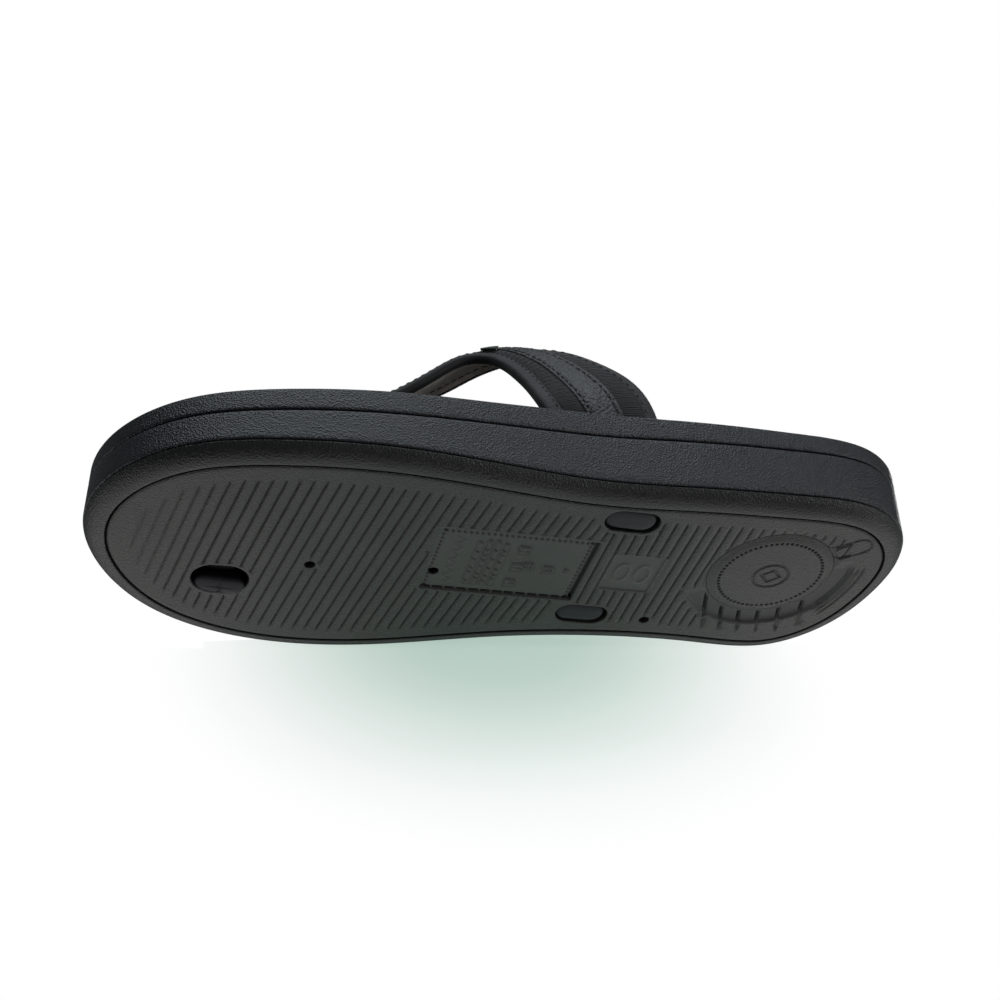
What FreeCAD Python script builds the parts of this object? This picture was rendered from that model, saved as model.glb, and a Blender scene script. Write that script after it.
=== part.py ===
import FreeCAD, Part
import math
import os
import Sketcher
from FreeCAD import Placement, Rotation, Vector

# Left-foot thong sandal with a thick four-layer sole and a wide padded textile strap.
# Millimetres. +Z up, the sole stands on z = 0, toe towards -Y, outer (little-toe) side +X.
# The origin is under the middle of the sole.

doc = FreeCAD.newDocument("thong_sandal")
sheet = doc.addObject("Spreadsheet::Sheet", "dimensions")

SCALARS = [
    # sole layers
    ("toe_lean", 0.045),           # how far the wall leans back for each unit of height
    ("heel_lean", 0.14),
    ("roll_radius", 7.0),          # rounded lower edge of the outsole
    ("rim_flat", 7.0),             # from the widest outline in to where the roll starts
    ("outsole_height", 4.7),
    ("recess_inset", 7.5),         # wall of the recess that holds the tread panel
    ("tread_inset", 8.3),          # edge of the tread panel: leaves the groove around it
    ("tread_thickness", 2.0),
    ("cover_recess_inset", 6.0),
    ("cover_inset", 6.3),
    ("cover_recess_depth", 2.6),
    ("cover_drop", 1.0),           # the cover's face lies this far under the footbed's rim
    # tread pattern
    ("rib_width", 1.2),
    ("rib_depth", 0.9),
    ("rib_margin", 15.0),          # rib ends, from the widest outline
    ("front_rib_pitch", 4.2),
    ("front_rib_tilt", 10.0),
    ("front_rib_first", -130.7),
    ("front_rib_count", 37),
    ("heel_rib_pitch", 4.0),
    ("heel_rib_first", 28.3),
    ("heel_rib_count", 23),
    ("label_length", 56.7),
    ("label_width", 35.2),
    ("label_x", 6.5),
    ("label_y", -2.9),
    ("patch_length", 18.6),
    ("patch_width", 20.5),
    ("patch_x", 8.0),
    ("patch_y", 42.5),
    ("label_margin", 1.2),         # plain border between a plate and the ribs
    ("patch_margin", 0.6),
    ("plate_sink", 0.5),
    ("disc_x", 14.2),
    ("disc_y", 94.5),
    ("disc_radius", 23.4),
    ("disc_gap", 0.6),
    ("disc_moat", 3.5),            # plain ring between the disc and the ribs
    ("disc_edge_drop", 1.0),
    ("disc_crown_drop", 0.2),
    ("vent_radius", 1.6),
    # strap anchors
    ("anchor_y", 32.5),
    ("outer_anchor_x", 36.8),
    ("inner_anchor_x", -19.4),
    ("anchor_hole_length", 20.0),
    ("anchor_hole_width", 11.0),
    ("plug_length", 18.6),
    ("plug_width", 9.6),
    ("plug_sink", 1.6),
    ("plug_height", 7.0),
    ("plug_round", 1.0),
    ("tongue_length", 14.0),
    ("tongue_thickness", 2.4),
    ("tongue_top", 26.5),
    ("slit_length", 40.0),
    ("slit_width", 6.6),
    ("slit_y", 29.3),
    ("outer_slit_x", 38.0),
    ("inner_slit_x", -20.8),
    # toe post
    ("post_x", -16.0),
    ("post_y", -100.2),
    ("post_length", 10.0),
    ("post_width", 6.0),
    ("post_gap", 0.4),
    ("post_top", 35.6),
    ("toe_hole_length", 20.0),
    ("toe_hole_width", 16.0),
    ("toe_hole_depth", 8.2),
    ("toe_plug_length", 18.4),
    ("toe_plug_width", 9.0),
    ("toe_plug_height", 4.2),
    ("toe_plug_sink", 1.2),
    ("toe_plug_shift", 3.0),
    # strap layers, outside to inside
    ("strap_crown", 2.2),
    ("overlay_rise", 0.6),
    ("binding_leg", 0.4),
    ("upper_thickness", 0.6),
    ("padding_thickness", 2.4),
    ("lining_thickness", 0.7),
    ("binding_width", 5.8),
    ("edge_turn", 0.3),            # the stack of layers stops this far inside the bindings
    ("overlay_front", 0.33),       # share of the strap's width where the overlay starts
    ("overlay_rear", 0.66),
]

# Widest outline of the sole, seen from above, counter-clockwise from the tip of the toe:
# name, x, y.
OUTLINE = [
    ("toe_tip", 5.5, -147.2),
    ("toe_outer", 30.5, -138.7),
    ("toe_corner", 46.6, -120.1),
    ("ball_front", 54.9, -90.7),
    ("ball_outer", 57.4, -52.7),
    ("waist_front", 53.8, -8.7),
    ("waist_outer", 51.9, 17.3),
    ("heel_outer", 54.0, 57.3),
    ("heel_widest", 55.4, 89.3),
    ("heel_corner", 51.4, 122.3),
    ("heel_back_outer", 32.6, 140.1),
    ("heel_back", 8.0, 142.2),
    ("heel_back_inner", -17.8, 133.3),
    ("heel_inner_corner", -34.4, 114.1),
    ("heel_inner", -36.5, 82.3),
    ("arch_rear", -37.2, 44.3),
    ("arch_front", -43.4, 3.8),
    ("ball_inner_rear", -53.8, -36.7),
    ("ball_inner", -57.4, -68.7),
    ("ball_inner_front", -50.8, -105.5),
    ("toe_inner_corner", -38.2, -126.3),
    ("toe_inner", -19.0, -141.1),
]

# The outline is one smooth curve, kept as this many edges so that each wall face stays simple.
OUTLINE_SPANS = 11

# Heights along the sole: station y, seam between midsole and footbed, top of the footbed's rim.
HEIGHTS = [
    ("tip", -152.7, 17.2, 24.2),
    ("toes", -114.7, 16.6, 25.0),
    ("ball", -82.7, 17.6, 26.6),
    ("behind_ball", -50.7, 19.1, 28.6),
    ("arch_start", -22.7, 21.4, 31.0),
    ("arch", 7.3, 24.0, 34.2),
    ("arch_end", 33.3, 25.2, 35.1),
    ("heel_start", 72.3, 25.4, 34.3),
    ("end", 156.0, 25.9, 33.9),
]

# Each arm of the strap: corners of its outer face from the footbed up over the foot and down
# to the toe post, as front edge x, y, z and rear edge x, y, z.
OUTER_ARM = [
    (40.4, 11.3, 26.5, 40.4, 47.3, 26.5),
    (40.6, 9.3, 34.0, 40.8, 47.9, 34.0),
    (41.0, 4.3, 45.0, 41.4, 48.3, 46.0),
    (36.6, 1.9, 57.0, 39.6, 44.9, 61.5),
    (32.0, -0.5, 67.5, 35.2, 37.9, 74.0),
    (27.4, -4.3, 77.2, 28.4, 29.9, 85.4),
    (23.2, -10.3, 84.4, 20.4, 20.7, 94.2),
    (20.4, -19.7, 84.6, 8.6, 3.3, 97.4),
    (16.2, -32.7, 76.2, 0.6, -18.7, 87.0),
    (11.6, -45.7, 68.6, -3.6, -38.7, 77.0),
    (5.4, -64.7, 58.6, -8.8, -62.7, 64.6),
    (-2.6, -86.7, 46.6, -14.0, -85.7, 50.6),
    (-9.6, -105.7, 36.0, -16.0, -106.1, 39.0),
]
INNER_ARM = [
    (-23.2, 11.3, 26.5, -23.2, 47.3, 26.5),
    (-23.6, 9.3, 34.0, -23.8, 47.9, 34.0),
    (-25.0, 4.3, 45.0, -24.6, 47.9, 46.0),
    (-25.6, 1.3, 55.0, -23.2, 44.9, 59.0),
    (-25.4, -2.7, 62.6, -20.0, 39.3, 69.4),
    (-24.6, -8.7, 69.0, -15.4, 31.7, 79.0),
    (-23.4, -15.7, 72.2, -10.4, 21.7, 85.2),
    (-21.8, -24.7, 71.8, -5.8, 5.3, 88.0),
    (-21.0, -36.7, 67.8, -4.0, -18.7, 82.8),
    (-21.8, -48.7, 63.0, -4.6, -38.7, 74.8),
    (-24.0, -64.7, 56.0, -9.4, -62.7, 64.6),
    (-26.0, -86.7, 44.8, -14.6, -85.7, 50.6),
    (-22.8, -105.7, 35.6, -16.6, -106.1, 39.0),
]

VENTS = [("front_vent", -3.3, -71.3), ("middle_vent", -1.3, -28.3), ("heel_vent", -19.9, 57.6)]


def fill_sheet():
    """Write every driving dimension into the spreadsheet, one aliased cell each."""
    rows = list(SCALARS)
    for name, x, y in OUTLINE + VENTS:
        rows += [(name + "_x", x), (name + "_y", y)]
    for name, y, seam, top in HEIGHTS:
        rows += [(name + "_station", y), (name + "_seam", seam), (name + "_top", top)]
    for row, (alias, value) in enumerate(rows, start=1):
        sheet.set("A%d" % row, alias.replace("_", " "))
        sheet.set("B%d" % row, str(value))
        sheet.setAlias("B%d" % row, alias)
    doc.recompute()


def size(alias):
    return float(getattr(sheet, alias))


def value_of(expression):
    """Present value of a spreadsheet expression."""
    return float(sheet.evalExpression(expression))


def bind(obj, **links):
    """Bind properties of an object to spreadsheet expressions; __ stands for a dot."""
    for prop, expression in links.items():
        obj.setExpression(prop.replace("__", "."), expression)


def d(alias):
    return "dimensions." + alias


fill_sheet()


# ---------------------------------------------------------------- curves

def outline_wire(inset, z):
    """Closed wire parallel to the sole's widest outline, inset inwards, at height z.

    The toe and heel walls lean back, so a higher wire lies further towards the heel."""
    base = Part.BSplineCurve()
    stations = [Vector(size(name + "_x"), size(name + "_y"), 0) for name, _, _ in OUTLINE]
    base.interpolate(Points=stations, PeriodicFlag=True)
    first, last = base.FirstParameter, base.LastParameter
    count = 3 * len(OUTLINE)
    moved = []
    for i in range(count):
        u = first + (last - first) * i / count
        along = base.tangent(u)[0]
        outward = Vector(along.y, -along.x, 0)
        point = base.value(u) - outward * inset
        towards_heel = (point.y - stations[0].y) / (2 * abs(stations[0].y))
        lean = size("toe_lean") + (size("heel_lean") - size("toe_lean")) * towards_heel
        moved.append(point + Vector(0, lean * z, z))
    curve = Part.BSplineCurve()
    curve.interpolate(Points=moved, PeriodicFlag=True)
    start, length = curve.FirstParameter, curve.LastParameter - curve.FirstParameter
    spans = []
    for k in range(OUTLINE_SPANS):
        span = curve.copy()
        span.segment(start + length * k / OUTLINE_SPANS, start + length * (k + 1) / OUTLINE_SPANS)
        spans.append(span.toShape())
    return Part.Wire(spans)


def height_curve(column, shift):
    """Side-view curve of one sole level along Y, moved up by shift."""
    points = [Vector(-80, size(name + "_station"), size(name + column) + shift)
              for name, _, _, _ in HEIGHTS]
    curve = Part.BSplineCurve()
    curve.interpolate(Points=points)
    return curve


def feature(name, shape):
    obj = doc.addObject("Part::Feature", name)
    obj.Label = name
    obj.Shape = shape
    return obj


def prism(name, inset, bottom, top):
    """Block with the sole's plan shape between two heights, its walls leaning like the sole's."""
    wires = [outline_wire(inset, bottom), outline_wire(inset, top)]
    return feature(name, Part.makeLoft(wires, True, True))


def level_block(name, low, high):
    """Block 160 wide along X between two side-view curves, each (column, shift) or a flat z."""
    start = size("tip_station")
    end = size("end_station")

    def edge(level):
        if isinstance(level, float):
            return Part.makeLine(Vector(-80, start, level), Vector(-80, end, level))
        return height_curve(*level).toShape()

    under, over = edge(low), edge(high)
    front = Part.makeLine(under.Vertexes[0].Point, over.Vertexes[0].Point)
    back = Part.makeLine(under.Vertexes[1].Point, over.Vertexes[1].Point)
    face = Part.Face(Part.Wire([under, back, over, front]))
    return feature(name, face.extrude(Vector(160, 0, 0)))


def common(name, *shapes):
    obj = doc.addObject("Part::MultiCommon", name)
    obj.Shapes = list(shapes)
    obj.Label = name
    return obj


def cut(name, base, tool):
    obj = doc.addObject("Part::Cut", name)
    obj.Base = base
    obj.Tool = tool
    obj.Label = name
    return obj


def group(name, *shapes):
    obj = doc.addObject("Part::Compound", name)
    obj.Links = list(shapes)
    return obj


# ---------------------------------------------------------------- slots, as bodies

def origin_plane(body, role):
    return next(f for f in body.Origin.OriginFeatures if f.Role == role)


def slot_body(name, x, y, length, width, base, height, round_edge=None):
    """Upright block with a rounded-end (stadium) section, its long side along Y.

    x, y, length, width, base and height are spreadsheet expressions."""
    body = doc.addObject("PartDesign::Body", name)
    body.Label = name
    sketch = body.newObject("Sketcher::SketchObject", name + "_section")
    sketch.AttachmentSupport = (origin_plane(body, "XY_Plane"), [""])
    sketch.MapMode = "FlatFace"
    up = Vector(0, 0, 1)
    wide = value_of(width) / 2
    mid_x = value_of(x)
    reach = (value_of(length) - 2 * wide) / 2
    top_y = value_of(y) + reach
    low_y = value_of(y) - reach
    sketch.addGeometry(Part.ArcOfCircle(
        Part.Circle(Vector(mid_x, top_y, 0), up, wide), 0, math.pi))
    sketch.addGeometry(Part.ArcOfCircle(
        Part.Circle(Vector(mid_x, low_y, 0), up, wide), math.pi, 2 * math.pi))
    for side in (wide, -wide):
        sketch.addGeometry(Part.LineSegment(Vector(mid_x + side, top_y, 0),
                                            Vector(mid_x + side, low_y, 0)))
    joints = [("Tangent", 0, 1, 2, 1), ("Tangent", 0, 2, 3, 1),
              ("Tangent", 1, 2, 2, 2), ("Tangent", 1, 1, 3, 2), ("Vertical", 2), ("Equal", 0, 1)]
    for joint in joints:
        sketch.addConstraint(Sketcher.Constraint(*joint))
    radius = sketch.addConstraint(Sketcher.Constraint("Radius", 0, wide))
    span = sketch.addConstraint(Sketcher.Constraint("DistanceY", 1, 3, 0, 3, 2 * reach))
    across = sketch.addConstraint(Sketcher.Constraint("DistanceX", -1, 1, 1, 3, mid_x))
    along = sketch.addConstraint(Sketcher.Constraint("DistanceY", -1, 1, 1, 3, low_y))
    sketch.setExpression("Constraints[%d]" % radius, "(%s) / 2" % width)
    sketch.setExpression("Constraints[%d]" % span, "(%s) - (%s)" % (length, width))
    sketch.setExpression("Constraints[%d]" % across, x)
    sketch.setExpression("Constraints[%d]" % along, "(%s) - ((%s) - (%s)) / 2" % (y, length, width))
    bind(sketch, AttachmentOffset__Base__z=base)
    pad = body.newObject("PartDesign::Pad", name + "_pad")
    pad.Profile = sketch
    bind(pad, Length=height)
    doc.recompute()
    if round_edge:
        fillet = body.newObject("PartDesign::Fillet", name + "_rounding")
        faces = pad.Shape.Faces
        ends = [i for i, face in enumerate(faces, start=1) if abs(face.normalAt(0, 0).z) > 0.9]
        fillet.Base = (pad, ["Face%d" % i for i in ends])
        bind(fillet, Radius=round_edge)
        doc.recompute()
    return body


# ---------------------------------------------------------------- holes through the sole

def anchor_tools(side):
    """Recess for a strap plug, right through everything below the footbed, and the slit above."""
    hole = slot_body(side + "_anchor_hole", d(side + "_anchor_x"), d("anchor_y"),
                     d("anchor_hole_length"), d("anchor_hole_width"), "-1", "30")
    slit = slot_body(side + "_slit", d(side + "_slit_x"), d("slit_y"),
                     d("slit_length"), d("slit_width"), "15", "25")
    return hole, slit


outer_hole, outer_slit = anchor_tools("outer")
inner_hole, inner_slit = anchor_tools("inner")
toe_hole = slot_body("toe_hole", d("post_x"), d("post_y"), d("toe_hole_length"),
                     d("toe_hole_width"), "-1", d("toe_hole_depth") + " + 1")
post_hole = slot_body("post_hole", d("post_x"), d("post_y"),
                      d("post_length") + " + 2 * " + d("post_gap"),
                      d("post_width") + " + 2 * " + d("post_gap"), "0", "45")


def holes(name, *shapes):
    return group(name, outer_hole, inner_hole, toe_hole, post_hole, *shapes)


# ---------------------------------------------------------------- sole layers

def roll_wires():
    """Outline at each height of the rounded lower edge, from the ground to the outsole's top."""
    radius = size("roll_radius")
    top_angle = math.acos(1 - size("outsole_height") / radius)
    wires = []
    for step in range(6):
        angle = top_angle * step / 5
        inset = size("rim_flat") - radius * math.sin(angle)
        wires.append(outline_wire(inset, radius * (1 - math.cos(angle))))
    return wires


SEAM = ("_seam", 0.0)
TOP = ("_top", 0.0)

outsole_block = feature("outsole_block", Part.makeLoft(roll_wires(), True, False))
tread_recess = prism("tread_recess", size("recess_inset"), -1.0, size("tread_thickness"))
outsole = cut("outsole", outsole_block, holes("outsole_holes", tread_recess))

midsole_prism = prism("midsole_prism", 0.0, size("outsole_height"), 40.0)
midsole_levels = level_block("midsole_levels", size("outsole_height"), SEAM)
midsole_block = common("midsole_block", midsole_prism, midsole_levels)
midsole = cut("midsole", midsole_block, holes("midsole_holes"))

footbed_prism = prism("footbed_prism", 0.0, 10.0, 45.0)
footbed_levels = level_block("footbed_levels", SEAM, TOP)
footbed_block = common("footbed_block", footbed_prism, footbed_levels)
cover_recess_prism = prism("cover_recess_prism", size("cover_recess_inset"), 10.0, 45.0)
cover_recess_levels = level_block("cover_recess_levels", ("_top", -size("cover_recess_depth")), 45.0)
cover_recess = common("cover_recess", cover_recess_prism, cover_recess_levels)
footbed_tools = group("footbed_tools", cover_recess, outer_slit, inner_slit, post_hole)
footbed = cut("footbed", footbed_block, footbed_tools)

cover_prism = prism("cover_prism", size("cover_inset"), 10.0, 45.0)
cover_levels = level_block("cover_levels", ("_top", -size("cover_recess_depth")),
                           ("_top", -size("cover_drop")))
cover_block = common("cover_block", cover_prism, cover_levels)
cover_holes = group("cover_holes", outer_slit, inner_slit, post_hole)
footbed_cover = cut("footbed_cover", cover_block, cover_holes)


# ---------------------------------------------------------------- tread panel

def cylinder(name, x, y, radius, base, height):
    obj = doc.addObject("Part::Cylinder", name)
    bind(obj, Radius=radius, Height=height, Placement__Base__x=x, Placement__Base__y=y,
         Placement__Base__z=base)
    return obj


def plate_box(name, prefix, grow, base, height):
    """Box over a moulded plate on the tread, grown on every side by grow."""
    obj = doc.addObject("Part::Box", name)
    bind(obj, Width="%s + 2 * %s" % (d(prefix + "_length"), grow),
         Length="%s + 2 * %s" % (d(prefix + "_width"), grow), Height=height,
         Placement__Base__x="%s - %s / 2 - %s" % (d(prefix + "_x"), d(prefix + "_width"), grow),
         Placement__Base__y="%s - %s / 2 - %s" % (d(prefix + "_y"), d(prefix + "_length"), grow),
         Placement__Base__z=base)
    return obj


def rib_bars():
    """Straight bars, one per tread groove: tilted under the forefoot, square under the heel."""
    across = 160.0
    runs = [("front_rib", size("front_rib_tilt")), ("heel_rib", 0.0)]
    bars = []
    for prefix, tilt in runs:
        for i in range(int(size(prefix + "_count"))):
            bar = Part.makeBox(across, size("rib_width"), size("rib_depth") + 1,
                               Vector(-across / 2, -size("rib_width") / 2, -1))
            middle = Vector(0, size(prefix + "_first") + i * size(prefix + "_pitch"), 0)
            bar.Placement = Placement(middle, Rotation(Vector(0, 0, 1), tilt))
            bars.append(bar)
    return Part.makeCompound(bars)


tread_prism = prism("tread_prism", size("tread_inset"), 0.0, size("tread_thickness"))
rib_field = prism("rib_field", size("rib_margin"), -1.0, 3.0)
ribs_full = feature("rib_bars", rib_bars())
ribs_inside = common("ribs_inside", ribs_full, rib_field)
disc_clear = cylinder("disc_clear", d("disc_x"), d("disc_y"),
                      "%s + %s" % (d("disc_radius"), d("disc_moat")), "-2", "6")
plain_areas = group("plain_areas", plate_box("label_clear", "label", d("label_margin"), "-2", "6"),
                    plate_box("patch_clear", "patch", d("patch_margin"), "-2", "6"), disc_clear)
ribs = cut("ribs", ribs_inside, plain_areas)
vents = [cylinder(name, d(name + "_x"), d(name + "_y"), d("vent_radius"), "-1", "6")
         for name, _, _ in VENTS]
disc_pocket = cylinder("disc_pocket", d("disc_x"), d("disc_y"),
                       "%s + %s" % (d("disc_radius"), d("disc_gap")), "-1", "6")
tread_tools = holes("tread_tools", ribs, disc_pocket,
                    plate_box("label_pocket", "label", "0", "-1", "1 + " + d("plate_sink")),
                    plate_box("patch_pocket", "patch", "0", "-1", "1 + " + d("plate_sink")), *vents)
tread_panel = cut("tread_panel", tread_prism, tread_tools)


def heel_disc_body():
    """Low crowned medallion, revolved: thinnest at its edge, standing face down."""
    body = doc.addObject("PartDesign::Body", "heel_disc")
    body.Label = "heel_disc"
    sketch = body.newObject("Sketcher::SketchObject", "heel_disc_section")
    sketch.AttachmentSupport = (origin_plane(body, "XZ_Plane"), [""])
    sketch.MapMode = "FlatFace"
    corners = [Vector(0, 0.2, 0), Vector(20, 1, 0), Vector(20, 2, 0), Vector(0, 2, 0)]
    crown = Part.Arc(corners[0], Vector(11, 0.5, 0), corners[1])
    sketch.addGeometry(crown)
    for start, end in zip(corners[1:], corners[2:] + corners[:1]):
        sketch.addGeometry(Part.LineSegment(start, end))
    arc_at_axis = 1 if crown.value(crown.FirstParameter).x < 1 else 2
    joints = [("Coincident", 0, 3 - arc_at_axis, 1, 1), ("Coincident", 1, 2, 2, 1),
              ("Coincident", 2, 2, 3, 1), ("Coincident", 3, 2, 0, arc_at_axis),
              ("Vertical", 1), ("Horizontal", 2), ("PointOnObject", 3, 1, -2),
              ("PointOnObject", 3, 2, -2), ("PointOnObject", 0, 3, -2)]
    for joint in joints:
        sketch.addConstraint(Sketcher.Constraint(*joint))
    sizes = [(("DistanceX", 3, 1, 1, 1, 20.0), d("disc_radius")),
             (("DistanceY", -1, 1, 1, 1, 1.0), d("disc_edge_drop")),
             (("DistanceY", -1, 1, 3, 2, 0.2), d("disc_crown_drop")),
             (("DistanceY", -1, 1, 1, 2, 2.0), d("tread_thickness"))]
    for dimension, expression in sizes:
        index = sketch.addConstraint(Sketcher.Constraint(*dimension))
        sketch.setExpression("Constraints[%d]" % index, expression)
    spin = body.newObject("PartDesign::Revolution", "heel_disc_spin")
    spin.Profile = sketch
    spin.ReferenceAxis = (sketch, ["V_Axis"])
    spin.Angle = 360
    bind(body, Placement__Base__x=d("disc_x"), Placement__Base__y=d("disc_y"))
    return body


heel_disc = heel_disc_body()

# ---------------------------------------------------------------- plugs, tongues and toe post

outer_plug = slot_body("outer_plug", d("outer_anchor_x"), d("anchor_y"), d("plug_length"),
                       d("plug_width"), d("plug_sink"), d("plug_height"), d("plug_round"))
inner_plug = slot_body("inner_plug", d("inner_anchor_x"), d("anchor_y"), d("plug_length"),
                       d("plug_width"), d("plug_sink"), d("plug_height"), d("plug_round"))
tongue_base = "%s + %s" % (d("plug_sink"), d("plug_height"))
tongue_height = "%s - (%s)" % (d("tongue_top"), tongue_base)
outer_tongue = slot_body("outer_tongue", d("outer_slit_x"), d("anchor_y"), d("tongue_length"),
                         d("tongue_thickness"), tongue_base, tongue_height)
inner_tongue = slot_body("inner_tongue", d("inner_slit_x"), d("anchor_y"), d("tongue_length"),
                         d("tongue_thickness"), tongue_base, tongue_height)
toe_plug = slot_body("toe_plug", "%s - %s" % (d("post_x"), d("toe_plug_shift")), d("post_y"),
                     d("toe_plug_length"), d("toe_plug_width"), d("toe_plug_sink"),
                     d("toe_plug_height"), d("plug_round"))
toe_post = slot_body("toe_post", d("post_x"), d("post_y"), d("post_length"), d("post_width"),
                     "%s + %s" % (d("toe_plug_sink"), d("toe_plug_height")),
                     "%s - %s - %s" % (d("post_top"), d("toe_plug_sink"), d("toe_plug_height")))


# ---------------------------------------------------------------- strap

class Arm:
    """One arm of the strap: its outer face runs between a front and a rear edge curve."""

    def __init__(self, corners):
        self.front = self.curve([Vector(*row[:3]) for row in corners])
        self.rear = self.curve([Vector(*row[3:]) for row in corners])
        self.sections = 2 * len(corners) - 1

    @staticmethod
    def curve(points):
        spline = Part.BSplineCurve()
        spline.interpolate(Points=points, Parameters=[float(i) for i in range(len(points))])
        return spline

    def frame(self, section):
        """Front point, width vector, the normal that points away from the foot, and the crown."""
        u = section / 2.0
        start = self.front.value(u)
        width = self.rear.value(u) - start
        along = self.front.tangent(u)[0] + self.rear.tangent(u)[0]
        normal = width.cross(along)
        normal.normalize()
        foot_centre = Vector(8.0 * (start.y + 100.0) / 133.0 - 14.0, start.y, 30.0)
        if normal.dot(start + width * 0.5 - foot_centre) < 0:
            normal = normal * -1
        crown = size("strap_crown") * min(1.0, (section + 1) / 6.0)
        return start, width, normal, crown

    def point(self, frame, share, depth):
        """Point at a share of the width from the front edge, depth under the outer face."""
        start, width, normal, crown = frame
        rise = crown * 4 * share * (1 - share)
        return start + width * share + normal * (rise - depth)

    def band_section(self, section, low, high, outer, inner):
        """Closed curved-quadrilateral wire between two width shares and two depths.

        low and high take the width and return a share."""
        frame = self.frame(section)
        width = frame[1].Length
        a, b = low(width), high(width)
        mid = (a + b) / 2
        over = [self.point(frame, s, outer) for s in (a, mid, b)]
        under = [self.point(frame, s, inner) for s in (a, mid, b)]
        edges = [Part.Arc(*over).toShape(), Part.makeLine(over[2], under[2]),
                 Part.Arc(*reversed(under)).toShape(), Part.makeLine(under[0], over[0])]
        return Part.Wire(edges)

    def binding_section(self, section, front, total):
        """U-shaped wire that wraps one edge of the stack."""
        frame = self.frame(section)
        width = frame[1].Length
        leg = size("binding_leg")
        reach = size("binding_width") * min(1.0, width / 20.0)
        stations = [(reach, -leg), (-leg, -leg), (-leg, total + leg), (reach, total + leg),
                    (reach, total), (0.0, total), (0.0, 0.0), (reach, 0.0)]
        corners = []
        for from_edge, depth in stations:
            share = from_edge / width
            corners.append(self.point(frame, share if front else 1 - share, depth))
        return Part.makePolygon(corners + corners[:1])


def loft(name, wires):
    return feature(name, Part.makeLoft(wires, True, False))


def strap_arm(side, corners):
    """Build the layers of one arm of the strap."""
    arm = Arm(corners)
    upper = size("upper_thickness")
    padding = upper + size("padding_thickness")
    total = padding + size("lining_thickness")
    inset = size("edge_turn")

    def edge_share(width):
        return inset / width

    def far_share(width):
        return 1 - inset / width

    def overlay_low(width):
        return size("overlay_front")

    def overlay_high(width):
        return size("overlay_rear")

    layers = [("upper", edge_share, far_share, 0.0, upper, 0),
              ("padding", edge_share, far_share, upper, padding, 0),
              ("lining", edge_share, far_share, padding, total, 0),
              ("overlay", overlay_low, overlay_high, -size("overlay_rise"), 0.0, 2)]
    for layer, low, high, outer, inner, first in layers:
        wires = [arm.band_section(i, low, high, outer, inner) for i in range(first, arm.sections)]
        loft("%s_%s" % (side, layer), wires)
    for edge, is_front in (("front", True), ("rear", False)):
        wires = [arm.binding_section(i, is_front, total) for i in range(2, arm.sections)]
        loft("%s_%s_binding" % (side, edge), wires)


strap_arm("outer", OUTER_ARM)
strap_arm("inner", INNER_ARM)

NODES = ["outsole", "tread_panel", "midsole", "footbed", "footbed_cover", "heel_disc",
         "outer_plug", "inner_plug", "toe_plug", "outer_tongue", "inner_tongue", "toe_post"]
NODES += ["%s_%s" % (side, layer) for side in ("outer", "inner")
          for layer in ("upper", "padding", "lining", "overlay", "front_binding", "rear_binding")]


def write_nodes():
    """Check the whole document, then write one STEP file for each piece."""
    doc.recompute()
    failed = [obj.Name for obj in doc.Objects if "Invalid" in obj.State or "Error" in obj.State]
    if failed:
        raise RuntimeError("objects failed to build: " + ", ".join(failed))
    by_label = {obj.Label: obj for obj in doc.Objects}
    for name in NODES:
        shape = by_label[name].Shape
        if shape.isNull() or not shape.isValid() or not shape.Solids:
            raise RuntimeError("bad shape: " + name)
    os.makedirs("parts", exist_ok=True)
    for name in NODES:
        by_label[name].Shape.exportStep(os.path.join("parts", name + ".step"))
        box = by_label[name].Shape.BoundBox
        print("%-22s %9.0f mm3  x %7.2f %7.2f  y %8.2f %8.2f  z %6.2f %6.2f  solids %d" % (
            name, by_label[name].Shape.Volume, box.XMin, box.XMax, box.YMin, box.YMax,
            box.ZMin, box.ZMax, len(by_label[name].Shape.Solids)))


write_nodes()
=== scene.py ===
import math

import bmesh
import bpy
import numpy as np
from mathutils import Matrix, Vector, noise
from mathutils.bvhtree import BVHTree
from mathutils.geometry import delaunay_2d_cdt


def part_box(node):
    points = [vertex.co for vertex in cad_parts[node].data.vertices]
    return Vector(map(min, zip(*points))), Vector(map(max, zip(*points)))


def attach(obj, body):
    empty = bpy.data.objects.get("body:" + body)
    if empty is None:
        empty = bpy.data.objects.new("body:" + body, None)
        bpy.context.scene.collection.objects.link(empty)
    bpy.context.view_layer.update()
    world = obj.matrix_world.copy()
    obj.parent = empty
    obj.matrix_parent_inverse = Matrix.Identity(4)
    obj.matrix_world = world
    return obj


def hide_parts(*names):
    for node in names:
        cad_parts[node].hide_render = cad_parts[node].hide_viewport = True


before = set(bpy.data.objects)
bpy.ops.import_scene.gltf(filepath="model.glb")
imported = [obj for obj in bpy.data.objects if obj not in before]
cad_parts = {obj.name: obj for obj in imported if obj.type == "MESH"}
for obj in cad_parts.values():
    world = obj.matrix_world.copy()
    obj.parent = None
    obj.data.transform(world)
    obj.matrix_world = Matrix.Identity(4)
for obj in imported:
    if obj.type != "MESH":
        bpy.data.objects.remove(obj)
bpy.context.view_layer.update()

# Shapes are worked out in millimetres and written in metres. The axes are the part's own:
# +Z up, toe towards -Y, outer side of the left foot towards +X.
MM = 0.001
BODY = "root"
STITCH_SIDES = 6
scene = bpy.context.scene


# ---- reading the CAD nodes

def node_box(node):
    """Lowest and highest corner of a CAD node, in millimetres."""
    low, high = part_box(node)
    return np.array(low) / MM, np.array(high) / MM


def node_centre(node):
    low, high = node_box(node)
    return (low + high) / 2


def node_bmesh(node):
    bm = bmesh.new()
    bm.from_mesh(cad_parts[node].data)
    bmesh.ops.remove_doubles(bm, verts=bm.verts, dist=1e-6)
    return bm


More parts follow.
